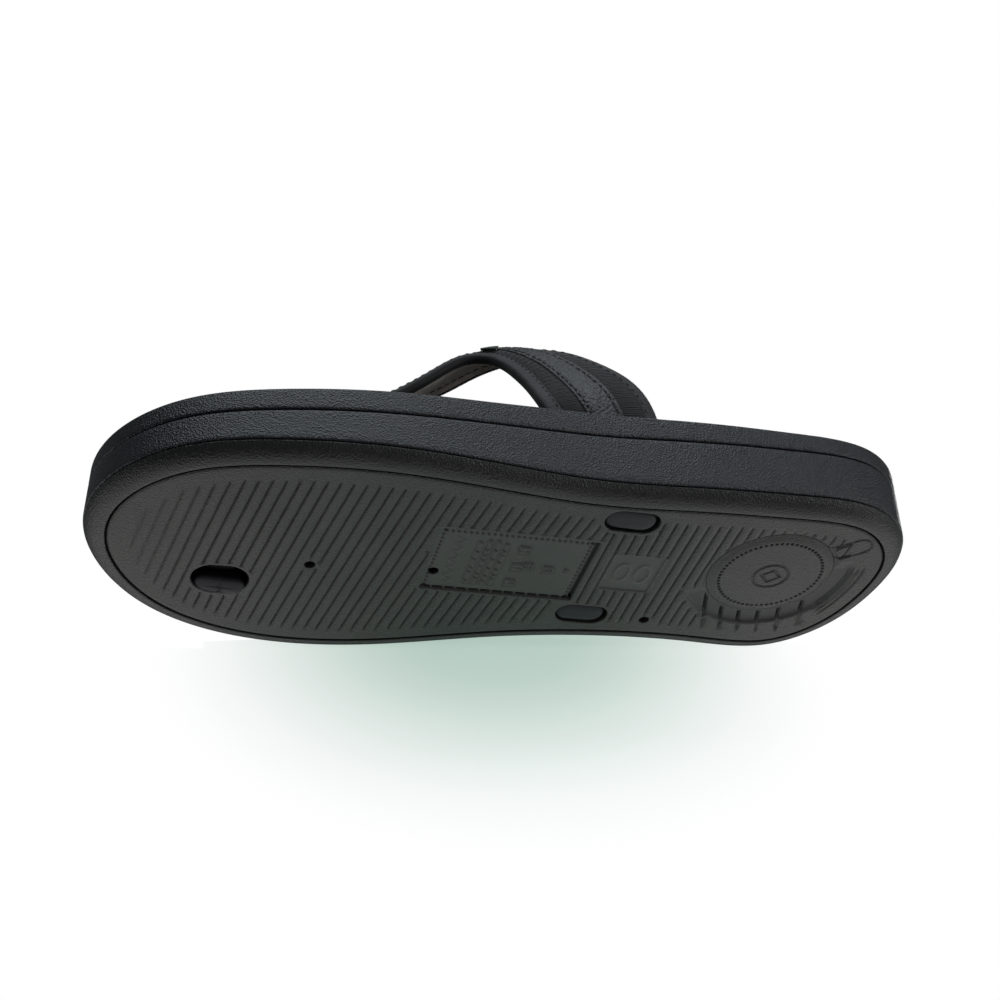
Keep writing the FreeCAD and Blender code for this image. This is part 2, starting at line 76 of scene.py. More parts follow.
def sharp_chains(node, least_angle=math.radians(40)):
    """Lines along the sharp edges of a CAD node, each an array of points in millimetres."""
    bm = node_bmesh(node)
    links = {}
    for edge in bm.edges:
        if len(edge.link_faces) == 2 and edge.calc_face_angle() > least_angle:
            for vert in edge.verts:
                links.setdefault(vert, []).append(edge)
    used = set()

    def walk(vert, edge):
        line = [vert.co / MM]
        while edge is not None and edge not in used:
            used.add(edge)
            vert = edge.other_vert(vert)
            line.append(vert.co / MM)
            onward = [e for e in links[vert] if e not in used]
            edge = onward[0] if len(links[vert]) == 2 and onward else None
        return np.array(line)

    corners = [v for v in links if len(links[v]) != 2]
    chains = [walk(v, e) for v in corners + list(links) for e in links[v] if e not in used]
    bm.free()
    return chains


def length_of(line):
    return np.linalg.norm(np.diff(line, axis=0), axis=1).sum()


def resample(line, count, closed=False):
    """Evenly spaced points along a line."""
    steps = np.linalg.norm(np.diff(line, axis=0), axis=1)
    run = np.concatenate([[0.0], np.cumsum(steps)])
    wanted = np.linspace(0, run[-1], count, endpoint=not closed)
    return np.stack([np.interp(wanted, run, line[:, k]) for k in range(line.shape[1])], axis=1)


def smoothed(values, sigma, closed=False):
    """Gaussian smoothing along the first axis; an open line keeps its ends."""
    reach = int(3 * sigma) + 1
    offsets = np.arange(-reach, reach + 1)
    weights = np.exp(-0.5 * (offsets / sigma) ** 2)
    weights /= weights.sum()
    count = len(values)
    total = np.zeros_like(values, dtype=float)
    for offset, weight in zip(offsets, weights):
        index = np.arange(count) + offset
        if closed:
            total += weight * values[index % count]
            continue
        inside = np.clip(index, 0, count - 1)
        mirror = values[np.clip(2 * inside - index, 0, count - 1)]
        total += weight * (2 * values[inside] - mirror)
    return total


def unit(vectors):
    return vectors / np.linalg.norm(vectors, axis=-1, keepdims=True)


def smoothstep(low, high, value):
    t = np.clip((value - low) / (high - low), 0, 1)
    return t * t * (3 - 2 * t)


def fade(low, high, value):
    """1 below low, 0 above high."""
    return 1 - smoothstep(low, high, value)


# ---- making pieces

def new_object(name, data):
    obj = bpy.data.objects.new(name, data)
    scene.collection.objects.link(obj)
    return obj


def piece(name, points, faces, material, nodes=()):
    """A mesh object that rides on the sandal; points in millimetres."""
    mesh = bpy.data.meshes.new(name)
    mesh.from_pydata((np.asarray(points) * MM).tolist(), [], faces)
    mesh.validate()
    mesh.shade_smooth()
    mesh.materials.append(MATERIALS[material])
    obj = new_object(name, mesh)
    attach(obj, BODY)
    if nodes:
        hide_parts(*nodes)
    return obj


def grid_faces(rows, columns, close_rows=False, close_columns=False, start=0):
    """Quads of a rows x columns grid of points."""
    faces = []
    for r in range(rows if close_rows else rows - 1):
        below = start + r * columns
        above = start + (r + 1) % rows * columns
        for c in range(columns if close_columns else columns - 1):
            d = (c + 1) % columns
            faces.append((below + c, below + d, above + d, above + c))
    return faces


def tube_faces(rings, sides, start=0):
    """Faces of a tube of points with both ends closed."""
    last = start + (rings - 1) * sides
    faces = grid_faces(rings, sides, close_columns=True, start=start)
    return faces + [tuple(range(start, start + sides)), tuple(range(last, last + sides))]


def orient(obj):
    """Turn the faces of a closed piece outwards."""
    bm = bmesh.new()
    bm.from_mesh(obj.data)
    bmesh.ops.recalc_face_normals(bm, faces=bm.faces)
    bm.to_mesh(obj.data)
    bm.free()
    return obj


def ring_piece(name, rings, material, nodes=()):
    """Closed ring swept round the sole: one array of points for each corner of its section."""
    count = len(rings[0])
    faces = grid_faces(len(rings), count, close_rows=True, close_columns=True)
    return orient(piece(name, np.concatenate(rings), faces, material, nodes))


def add_wall(points, faces, rows, flip):
    """Wall under the rim of a relief: rows of points, each row a closed loop."""
    start = sum(len(part) for part in points)
    ring = grid_faces(len(rows), len(rows[0]), close_columns=True, start=start)
    faces += [face[::-1] for face in ring] if flip else ring
    points += rows


def add_stitch(points, faces, centres, across, normal, half_width, half_height):
    """One stitch, a closed tube round its centres, with half sizes for every ring."""
    turn = np.arange(STITCH_SIDES) * 2 * math.pi / STITCH_SIDES
    ring = (centres[:, None] + across[:, None] * (half_width[:, None] * np.cos(turn))[..., None]
            + normal[:, None] * (half_height[:, None] * np.sin(turn))[..., None])
    faces += tube_faces(len(centres), STITCH_SIDES, len(points))
    points.extend(ring.reshape(-1, 3))


def band_piece(name, sections, material, nodes=(), run=None):
    """Closed band: sections x corners x 3 points, each section a closed loop, with end caps.

    run gives the distance along the band, which its textile pattern then follows.
    """
    count, corners = sections.shape[:2]
    faces = grid_faces(count, corners, close_columns=True)
    faces.append(tuple(range(corners)))
    faces.append(tuple(range(count * corners - 1, (count - 1) * corners - 1, -1)))
    obj = orient(piece(name, sections.reshape(-1, 3), faces, material, nodes))
    if run is not None:
        middle = sections[count // 2]
        across = np.concatenate([[0], np.cumsum(np.linalg.norm(np.diff(middle, axis=0), axis=1))])
        vertex = np.zeros(len(obj.data.loops), dtype=int)
        obj.data.loops.foreach_get("vertex_index", vertex)
        pattern = np.stack([run[vertex // corners], across[vertex % corners]], axis=1) * MM
        obj.data.uv_layers.new(name="cloth").data.foreach_set("uv", pattern.ravel())
    return obj


# ---- materials

def add_node(tree, kind, sockets=None, **settings):
    """A shader node; sockets gives an input its value, or the output to link to it."""
    node = tree.nodes.new("ShaderNode" + kind)
    for key, value in settings.items():
        setattr(node, key, value)
    for socket, value in (sockets or {}).items():
        if isinstance(value, bpy.types.NodeSocket):
            tree.links.new(value, node.inputs[socket])
        else:
            node.inputs[socket].default_value = value
    return node


class Shader:
    """One procedural material, built up node by node. Scales are cells per metre."""

    def __init__(self, name, roughness, **constants):
        self.material = bpy.data.materials.new(name)
        self.material.use_nodes = True
        self.tree = self.material.node_tree
        self.bsdf = self.tree.nodes["Principled BSDF"]
        self.bsdf.inputs["Roughness"].default_value = roughness
        for socket, value in constants.items():
            self.bsdf.inputs[socket.replace("_", " ")].default_value = value
        coordinates = add_node(self.tree, "TexCoord")
        self.place = coordinates.outputs["Object"]
        self.cloth = coordinates.outputs["UV"]
        self.normal = None

    def noise(self, scale, detail=3.0, roughness=0.55, distortion=0.0):
        sockets = {"Vector": self.place, "Scale": scale, "Detail": detail,
                   "Roughness": roughness, "Distortion": distortion}
        return add_node(self.tree, "TexNoise", sockets).outputs["Fac"]

    def cells(self, scale, smoothness):
        sockets = {"Vector": self.place, "Scale": scale, "Smoothness": smoothness}
        return add_node(self.tree, "TexVoronoi", sockets, feature="SMOOTH_F1").outputs["Distance"]

    def cross_ribs(self, pitch):
        """Ribs across the length of a band, pitch in millimetres."""
        sockets = {"Vector": self.cloth, "Scale": math.pi / (10 * pitch * MM), "Distortion": 0.6,
                   "Detail": 1.0}
        return add_node(self.tree, "TexWave", sockets, wave_type="BANDS",
                        bands_direction="X").outputs["Fac"]

    def color(self, value, color, *stops):
        """Base colour: a ramp over value, each stop a position and a factor of the colour."""
        ramp = add_node(self.tree, "ValToRGB", {"Fac": value})
        elements = ramp.color_ramp.elements
        while len(elements) < len(stops):
            elements.new(0.5)
        for element, (position, factor) in zip(elements, stops):
            element.position = position
            element.color = (*(channel * factor for channel in color), 1.0)
        self.tree.links.new(ramp.outputs["Color"], self.bsdf.inputs["Base Color"])

    def roughness(self, value, low, high):
        sockets = {"Value": value, "To Min": low, "To Max": high}
        spread = add_node(self.tree, "MapRange", sockets)
        self.tree.links.new(spread.outputs["Result"], self.bsdf.inputs["Roughness"])

    def bump(self, height, strength, distance_mm):
        sockets = {"Height": height, "Strength": strength, "Distance": distance_mm * MM}
        if self.normal is not None:
            sockets["Normal"] = self.normal
        self.normal = add_node(self.tree, "Bump", sockets).outputs["Normal"]
        self.tree.links.new(self.normal, self.bsdf.inputs["Normal"])


def moulded(name, color, roughness, grain, depth, strength=0.7, specular=0.5):
    """Moulded rubber or foam with a pebbled skin; grain is the pebble's size in millimetres."""
    shader = Shader(name, roughness, Specular_IOR_Level=specular)
    scale = 1 / (grain * MM)
    shader.color(shader.noise(38, 4.0), color, (0.3, 0.8), (0.5, 1.0), (0.75, 1.3))
    shader.roughness(shader.noise(scale * 0.6, 2.0), roughness - 0.07, roughness + 0.09)
    shader.bump(shader.cells(scale, 0.25), strength, depth)
    shader.bump(shader.noise(scale * 1.7, 2.0, 0.6, 0.4), strength * 0.6, depth * 0.5)
    shader.bump(shader.noise(scale * 0.2, 2.0), 0.2, depth)
    return shader.material


def cloth(name, color, thread, depth, roughness=0.8, sheen=0.25, ribs=None):
    """Woven or knitted textile with fibres; thread is the yarn's size in millimetres."""
    shader = Shader(name, roughness, Sheen_Weight=sheen, Sheen_Roughness=0.4,
                    Specular_IOR_Level=0.3)
    scale = 1 / (thread * MM)
    fibre = shader.noise(scale * 1.7, 4.0, 0.65, 0.5)
    shader.color(fibre, color, (0.3, 0.55), (0.55, 1.0), (0.8, 1.7))
    shader.bump(shader.cells(scale, 0.5), 0.7, depth)
    shader.bump(fibre, 0.5, depth * 0.7)
    if ribs:
        shader.bump(shader.cross_ribs(ribs), 0.9, 0.12)
    return shader.material


def satin(name, color, roughness=0.52):
    """Smooth satin-faced binding tape with very fine cross threads."""
    shader = Shader(name, roughness, Sheen_Weight=0.35, Sheen_Roughness=0.3,
                    Specular_IOR_Level=0.42)
    shader.color(shader.noise(90, 3.0), color, (0.3, 0.75), (0.7, 1.35))
    weave = shader.noise(2600, 2.0, 0.5, 0.2)
    shader.bump(shader.cross_ribs(0.62), 0.9, 0.07)
    shader.bump(weave, 0.35, 0.06)
    shader.roughness(weave, roughness - 0.05, roughness + 0.12)
    return shader.material


def nubuck(name, color, roughness=0.85, fleck=1.5):
    """Short-napped sheet: clouded colour and fine fibres."""
    shader = Shader(name, roughness, Sheen_Weight=0.3, Sheen_Roughness=0.5,
                    Specular_IOR_Level=0.25)
    shader.color(shader.noise(55, 5.0, 0.6, 0.6), color, (0.28, 0.6), (0.5, 1.0), (0.74, fleck))
    shader.bump(shader.noise(3200, 3.0, 0.7), 0.5, 0.08)
    shader.bump(shader.noise(500, 3.0, 0.6, 0.8), 0.45, 0.14)
    return shader.material


def plastic(name, color, roughness=0.38, specular=0.5):
    """Smooth moulded plastic with faint flow marks."""
    shader = Shader(name, roughness, Specular_IOR_Level=specular)
    flow = shader.noise(120, 3.0, 0.5, 1.5)
    shader.color(flow, color, (0.3, 0.85), (0.7, 1.2))
    shader.roughness(flow, roughness - 0.06, roughness + 0.1)
    shader.bump(shader.noise(900, 2.0), 0.25, 0.03)
    return shader.material


WALL_GREY = (0.0080, 0.0098, 0.0140)
TREAD_GREY = (0.0195, 0.0198, 0.0180)
MATERIALS = {
    "outsole": moulded("rim_rubber", (0.0125, 0.0134, 0.0124), 0.35, 0.62, 0.24, 1.0, 0.4),
    "tread": moulded("tread_rubber", TREAD_GREY, 0.42, 0.55, 0.26, 1.0, 0.4),
    "plate": moulded("plate_rubber", TREAD_GREY, 0.44, 0.9, 0.02, 0.4, 0.5),
    # Smoother rubber of the dish round the heel disc, darker than the tread as painted shade of the
    # dish.
    "scoop": moulded("scoop_shaded_rubber", (0.0125, 0.0118, 0.0140), 0.46, 0.9, 0.03, 0.4, 0.4),
    # Near-black, for the deep walls of the tread's openings: painted shade.
    "hollow": moulded("hollow_painted_shade", (0.0045, 0.0045, 0.0045), 0.8, 0.7, 0.1, 0.8, 0.2),
    "wall": moulded("wall_foam", WALL_GREY, 0.35, 0.62, 0.24, 1.0, 0.5),
    "plug": plastic("plug_plastic", (0.0075, 0.0070, 0.0105), 0.5, 0.25),
    "post": plastic("post_plastic", (0.010, 0.010, 0.011), 0.4),
    "cover": nubuck("cover_nubuck", (0.016, 0.0155, 0.015)),
    "webbing": cloth("webbing_weave", (0.010, 0.010, 0.010), 0.7, 0.15),
    "knit": cloth("ribbed_knit", (0.0085, 0.0085, 0.010), 0.32, 0.07, ribs=0.8),
    "foam": cloth("pad_foam", (0.03, 0.03, 0.03), 0.5, 0.1, 0.9),
    # The lining's own pale brown-grey, raised further as painted light in place of the light from
    # behind that reaches the foot side.
    "lining": nubuck("lightened_lining_nubuck", (0.290, 0.262, 0.235), 0.9, 1.9),
    "overlay": moulded("overlay_leather", (0.0155, 0.0155, 0.0165), 0.47, 0.9, 0.12, 0.9),
    "binding": satin("binding_satin", (0.0085, 0.0085, 0.0105)),
    "thread": cloth("stitch_thread", (0.016, 0.016, 0.018), 0.25, 0.05, 0.6, 0.4),
    "tag": cloth("tag_weave", (0.012, 0.03, 0.018), 0.3, 0.04),
}


# ---- the sole's outline

class Outline:
    """The sole's widest outline, the lean of its walls and the heights of its layers."""

    POINTS = 720

    def __init__(self):
        loops = sorted(sharp_chains("midsole"), key=length_of)[-2:]
        lower, seam = sorted(loops, key=lambda line: line[:, 2].mean())
        rim = max(sorted(sharp_chains("footbed"), key=length_of)[-3:],
                  key=lambda line: line[:, 2].mean() + line[:, 0].max())
        self.outsole_top = lower[:, 2].mean()
        self.seam_line = seam[np.argsort(seam[:, 1])]
        self.rim_line = rim[np.argsort(rim[:, 1])]
        ends = []
        for pick in (np.argmin, np.argmax):
            low, high = lower[pick(lower[:, 1])], rim[pick(rim[:, 1])]
            ends.append((low[1], (high[1] - low[1]) / (high[2] - low[2])))
        self.lean_stations, self.lean_values = zip(*ends)
        plan = lower[:, :2].copy()
        plan[:, 1] -= self.lean(plan[:, 1]) * self.outsole_top
        plan = resample(plan, self.POINTS, closed=True)
        plan = smoothed(plan, 2.0, closed=True)
        area = np.sum(plan[:, 0] * np.roll(plan[:, 1], -1) - plan[:, 1] * np.roll(plan[:, 0], -1))
        if area < 0:
            plan = plan[::-1]
        self.plan = plan
        along = unit(np.roll(plan, -1, axis=0) - np.roll(plan, 1, axis=0))
        self.outward = np.stack([along[:, 1], -along[:, 0]], axis=1)

    def lean(self, y):
        return np.interp(y, self.lean_stations, self.lean_values)

    def seam(self, y):
        return np.interp(y, self.seam_line[:, 1], self.seam_line[:, 2])

    def rim(self, y):
        return np.interp(y, self.rim_line[:, 1], self.rim_line[:, 2]) + 0.5

    def inner(self, inset):
        """Plan points of the outline moved inwards."""
        return self.plan - self.outward * inset

    def ring(self, inset, z):
        """Points round the sole at a height, or at a height that depends on y."""
        plan = self.inner(inset)
        height = z(plan[:, 1]) if callable(z) else np.full(len(plan), float(z))
        lean = self.lean(plan[:, 1]) * height
        return np.stack([plan[:, 0], plan[:, 1] + lean, height], axis=1)

    def inset_of(self, points):
        """How far plan points lie inside the outline."""
        nearest = np.full(len(points), np.inf)
        for start in range(0, len(points), 4000):
            part = points[start:start + 4000]
            gap = part[:, None, :] - self.plan[None, :, :]
            index = np.argmin((gap ** 2).sum(axis=2), axis=1)
            chosen = gap[np.arange(len(part)), index]
            nearest[start:start + 4000] = -(chosen * self.outward[index]).sum(axis=1)
        return nearest


outline = Outline()


def above(base, shift):
    """Height function: a level of the sole moved up by shift."""
    return lambda y: base(y) + shift


def between(low, high, share):
    """Height function: a share of the way from one height function to another."""
    return lambda y: low(y) + (high(y) - low(y)) * share


BURIED = 14.0                 # inset of the faces that lie hidden between the layers
ROLL_RADIUS = 7.0


def rolled_rim(angle):
    """Inset and height on the rolled rim at an angle from the ground."""
    return ROLL_RADIUS - ROLL_RADIUS * math.sin(angle), ROLL_RADIUS * (1 - math.cos(angle))


def build_walls():
    """Outsole rim, midsole and footbed as rings with rolled edges and real seam grooves."""
    top = outline.outsole_top
    top_angle = math.acos(1 - top / ROLL_RADIUS)
    rolled = [rolled_rim(top_angle * step / 14) for step in range(15)]
    last_inset = rolled[-1][0]
    corners = [(BURIED, 2.02), (7.55, 2.02), (7.5, 1.2), (7.48, 0.35), (7.4, 0.12), (7.25, 0.03)]
    corners += rolled[:-1]
    corners += [(last_inset + 0.02, top - 0.2), (last_inset + 0.25, top - 0.02),
                (last_inset + 0.8, top), (BURIED, top)]
    ring_piece("outsole_rim", [outline.ring(*corner) for corner in corners],
               "outsole", ["outsole"])

    groove = 1.5
    corners = [(BURIED, top + 0.3), (1.1, top + 0.3), (0.45, top + 0.36), (0.12, top + 0.5),
               (0.0, top + 0.9)]
    rows = [outline.ring(*corner) for corner in corners]
    wall = (lambda y: top + 0.9), above(outline.seam, -1.5)
    rows += [outline.ring(0.0, between(*wall, share)) for share in (0.15, 0.3, 0.45, 0.6, 0.75, 0.9)]
    rows += [outline.ring(inset, above(outline.seam, shift)) for inset, shift in (
        (0.0, -1.5), (0.06, -0.8), (0.25, -0.45), (0.55, -0.32), (groove, -0.3), (BURIED, -0.3))]
    ring_piece("midsole", rows, "wall", ["midsole"])

    rows = [outline.ring(inset, above(outline.seam, shift)) for inset, shift in (
        (BURIED, 0.0), (groove, 0.0), (groove, 0.3), (0.55, 0.32), (0.25, 0.42), (0.06, 0.75),
        (0.0, 1.6))]
    edge_radius = 1.4
    wall = above(outline.seam, 1.6), above(outline.rim, -edge_radius)
    rows += [outline.ring(0.0, between(*wall, share)) for share in (0.25, 0.5, 0.75, 1.0)]
    for step in range(1, 8):
        angle = math.pi / 2 * step / 7
        inset = edge_radius * (1 - math.cos(angle))
        rows.append(outline.ring(inset, above(outline.rim, edge_radius * (math.sin(angle) - 1))))
    rows += [outline.ring(inset, above(outline.rim, shift)) for inset, shift in (
        (4.0, 0.0), (5.3, -0.04), (5.75, -0.22), (5.95, -0.6), (6.0, -2.6), (BURIED, -2.6))]
    ring_piece("footbed", rows, "wall", ["footbed"])


build_walls()


# ---- distances in plan

def to_circle(p, centre, radius):
    return np.hypot(p[:, 0] - centre[0], p[:, 1] - centre[1]) - radius


def to_rect(p, centre, half):
    gap = np.abs(p - np.array(centre[:2])) - np.array(half)
    outside = np.linalg.norm(np.maximum(gap, 0), axis=1)
    return outside + np.minimum(gap.max(axis=1), 0)


def to_stadium(p, centre, length, width):
    """Distance outside a rounded-end slot that is long along Y."""
    reach = (length - width) / 2
    y = p[:, 1] - centre[1]
    beyond = y - np.clip(y, -reach, reach)
    return np.hypot(p[:, 0] - centre[0], beyond) - width / 2


def circle_loop(centre, radius, step):
    count = max(12, int(2 * math.pi * radius / step))
    angle = np.arange(count) * 2 * math.pi / count
    return np.stack([centre[0] + radius * np.cos(angle), centre[1] + radius * np.sin(angle)], axis=1)


def rect_loop(centre, half, step):
    a, b = half
    corners = np.array([(-a, -b), (a, -b), (a, b), (-a, b), (-a, -b)]) + np.array(centre[:2])
    sides = [resample(corners[i:i + 2], max(2, int(length_of(corners[i:i + 2]) / step)) + 1)[:-1]
             for i in range(4)]
    return np.concatenate(sides)


def stadium_loop(centre, length, width, step):
    radius, reach = width / 2, (length - width) / 2
    turn = np.linspace(0, math.pi, max(8, int(math.pi * radius / step)))
    cap = np.stack([radius * np.cos(turn), reach + radius * np.sin(turn)], axis=1)
    loop = np.concatenate([cap, -cap])
    loop = np.concatenate([loop, loop[:1]])
    count = int(length_of(loop) / step)
    return resample(loop, count, closed=True) + np.array(centre[:2])


def grid_points(x, y):
    return np.stack(np.meshgrid(x, y), axis=-1).reshape(-1, 2)


class Web:
    """Points and lines that a triangulated relief is built on."""

    def __init__(self):
        self.points = []
        self.lines = []

    def loop(self, line):
        start = len(self.points)
        self.points += [Vector(p) for p in line]
        count = len(line)
        self.lines += [(start + i, start + (i + 1) % count) for i in range(count)]

    def row(self, line, keep, longest):
        """An open line; only points marked keep stay, and gaps in it stay open."""
        previous = None
        for p, kept in zip(line, keep):
            if not kept:
                previous = None
                continue
            self.points.append(Vector(p))
            index = len(self.points) - 1
            if previous is not None:
                gap = np.linalg.norm(p - np.array(self.points[previous]))
                if gap < longest:
                    self.lines.append((previous, index))
            previous = index

    def scatter(self, points):
        self.points += [Vector(p) for p in points]

    def triangles(self):
        verts, _, faces, _, _, _ = delaunay_2d_cdt(self.points, self.lines, [], 0, 1e-5)
        return np.array([tuple(v) for v in verts]), np.array([tuple(f) for f in faces])


# ---- tread panel

TREAD_INSET = 8.3
BORDER = 13.0                 # plain border of the tread, from the widest outline
RIB_MARGIN = 14.2
RIB_TILT = math.tan(math.radians(10))
FRONT_RIBS = (-130.7, 4.2, 37)      # first rib's y at x = 0, pitch, count
HEEL_RIBS = (28.3, 4.0, 23)
CHANGE_Y = 24.4               # ribs change from tilted to square here, at x = 0
RIB_DEPTH = 1.0
# Section of one rib groove: distance across it, share of the depth. Steep on the toe side.
RIB_SECTION = ((-0.5, 0.0), (-0.36, 0.8), (-0.12, 1.0), (0.12, 0.92), (0.42, 0.3), (0.8, 0.06),
               (2.1, 0.0))
LABEL_CENTRE, LABEL_HALF = (6.5, -2.9), (17.6, 28.35)
PATCH_CENTRE, PATCH_HALF = (8.0, 42.5), (10.25, 9.3)
VENTS = ((-3.3, -71.3), (-1.3, -28.3), (-19.9, 57.6))
VENT_RADIUS = 1.95
RECESS_GAP = 0.7              # from a strap plug to the wall of its recess
PAINTED_SHADE_HEIGHT = 2.2           # higher than this, the sheet's walls take the near-black hollow material: painted shade

disc_low, disc_high = node_box("heel_disc")
DISC_CENTRE = (disc_low + disc_high) / 2
DISC_RADIUS = (disc_high[0] - disc_low[0]) / 2
DISC_LIP = DISC_RADIUS + 0.12
MOAT_RADIUS = DISC_RADIUS + 1.6
SCOOP_RADIUS = DISC_RADIUS + 9.0
EDGE_DROP = 1.3               # how far the disc's edge lies above the ground


def recess_of(plug):
    """Centre, length and width of the recess that holds a strap plug."""
    low, high = node_box(plug)
    return (low + high) / 2, high[1] - low[1] + 2 * RECESS_GAP, high[0] - low[0] + 2 * RECESS_GAP


RECESSES = [recess_of("outer_plug"), recess_of("inner_plug"), (node_centre("toe_post"), 20.0, 16.0)]
# Openings of the sheet: distance and outline functions, their measures, the spacing of the
# points round them and the height of their walls. The disc's comes first.
OPENINGS = [(to_circle, circle_loop, (DISC_CENTRE, DISC_LIP), 0.55, 1.9)]
OPENINGS += [(to_stadium, stadium_loop, recess, 0.7, 9.0) for recess in RECESSES]
OPENINGS += [(to_circle, circle_loop, (vent, VENT_RADIUS), 0.4, 6.0) for vent in VENTS]


def heel_turn(p):
    """Angle about the heel disc, 0 towards the heel, 90 degrees towards the inner side."""
    return np.degrees(np.arctan2(-(p[:, 0] - DISC_CENTRE[0]), p[:, 1] - DISC_CENTRE[1]))


def in_scoop(p, grow=0.0):
    """True in the smooth dished sector round the rear and inner side of the disc."""
    turn = heel_turn(p)
    radius = to_circle(p, DISC_CENTRE, 0)
    return (turn > -32 - grow) & (turn < 158 + grow) & (radius < SCOOP_RADIUS + grow)


def ahead_of_change(p):
    """True where the ribs are tilted, in front of the line where they turn square."""
    return p[:, 1] < CHANGE_Y + 0.1 * p[:, 0]


def rib_depth(p, inset):
    """Depth of the rib grooves at plan points, before plain areas are taken out."""
    tilted = p[:, 1] - p[:, 0] * RIB_TILT
    in_front = ahead_of_change(p)
    depth = np.zeros(len(p))
    for across, mask, (first, pitch, count) in ((tilted, in_front, FRONT_RIBS),
                                                (p[:, 1], ~in_front, HEEL_RIBS)):
        number = np.clip(np.round((across - first - 0.6) / pitch), 0, count - 1)
        offset = across - first - number * pitch
        stations, shares = zip(*RIB_SECTION)
        depth = np.where(mask, np.interp(offset, stations, shares, left=0, right=0), depth)
    towards_toe = 0.3 + 0.7 * smoothstep(-134, -100, tilted)
    ends = smoothstep(RIB_MARGIN, RIB_MARGIN + 2.0, inset)
    ends = ends * ((p[:, 1] < 77) | (p[:, 0] > DISC_CENTRE[0] - 10))
    return RIB_DEPTH * depth * towards_toe * ends


def plain_distance(p):
    """Distance from the nearest plain area: plates, recesses, vents and disc."""
    gaps = [to_rect(p, LABEL_CENTRE, LABEL_HALF) - 1.0, to_rect(p, PATCH_CENTRE, PATCH_HALF) - 0.6,
            to_circle(p, DISC_CENTRE, MOAT_RADIUS)]
    gaps += [to_stadium(p, *recess) - 1.2 for recess in RECESSES]
    gaps += [to_circle(p, vent, VENT_RADIUS) - 0.9 for vent in VENTS]
    return np.min(gaps, axis=0)


def steady(n):
    """Repeatable fraction from a whole number."""
    return math.sin(n * 12.9898 + 4.1414) * 43758.5453 % 1.0


def bars(p, rects, grow=0.0):
    """1 inside any of the small rounded bars (centre a, b, half a, half b), else 0."""
    value = np.zeros(len(p))
    for a, b, half_a, half_b in rects:
        gap = to_rect(p, (a, b), (half_a, half_b)) - grow
        value = np.maximum(value, fade(-0.1, 0.35, gap))
    return value


def label_marks():
    """Plain bars in rows that stand in for the label's printing, from the plate's corner."""
    marks = []
    number = 0
    for a in (15.5, 18.6, 21.7, 24.8):
        b = 5.0
        while b < 29.5:
            long = 0.7 + 1.5 * steady(number)
            marks.append((a, b + long, 0.62, long))
            b += 2 * long + 0.9
            number += 1
    for a, b in ((31.5, 7.0), (31.5, 16.5), (31.5, 26.5), (35.5, 17.5), (43.0, 16.5)):
        for k in range(6):
            marks.append((a - 1.3 + 1.3 * (k % 3), b - 1.0 + 2.0 * (k // 3),
                          0.42, 0.55 + 0.35 * steady(number + k)))
        number += 6
    marks.append((49.5, 17.0, 0.5, 0.5))
    return marks


def label_depth(p):
    """Relief of the recessed label plate: dotted, dashed and plain borders, generic marks."""
    corner = np.array(LABEL_CENTRE) - np.array(LABEL_HALF)
    b, a = (p - corner).T
    wide, long = 2 * LABEL_HALF[0], 2 * LABEL_HALF[1]
    depth = np.full(len(p), 0.5)
    local = np.stack([a, b], axis=1)
    marks = label_marks()
    depth += 0.45 * bars(local, marks, 0.55) - 0.95 * bars(local, marks)
    wave = 8.2 + 1.3 * np.sin(b * 2 * math.pi / 4.6)
    depth -= 0.3 * ((b > 4.5) & (b < 31)) * fade(0.3, 0.65, np.abs(a - wave))
    pitch = 2.1
    for along, across, limit in ((b, a - 1.5, wide), (a, wide - 1.5 - b, long),
                                 (b, long - 2.6 - a, wide)):
        phase = along - pitch * np.round(along / pitch)
        dot = np.hypot(phase, across)
        depth += 0.85 * fade(0.3, 0.8, dot) * (along > 1) * (along < limit - 1)
    dash = np.abs(a - 4.4 * np.round(a / 4.4))
    depth += 1.6 * fade(0.45, 0.8, np.abs(b - 0.7)) * smoothstep(0.35, 0.7, dash)
    depth += 1.7 * fade(0.45, 0.8, np.abs(a - long + 0.8))
    return depth


def patch_depth(p):
    """Relief of the small plate: two plain ovals."""
    depth = np.full(len(p), 0.38)
    for side in (-1, 1):
        x = p[:, 0] - PATCH_CENTRE[0]
        y = p[:, 1] - PATCH_CENTRE[1] - 3.9 * side
        oval = np.hypot(x / 5.0, y / 2.6)
        depth -= 0.38 * fade(0.08, 0.2, np.abs(oval - 1))
    return depth


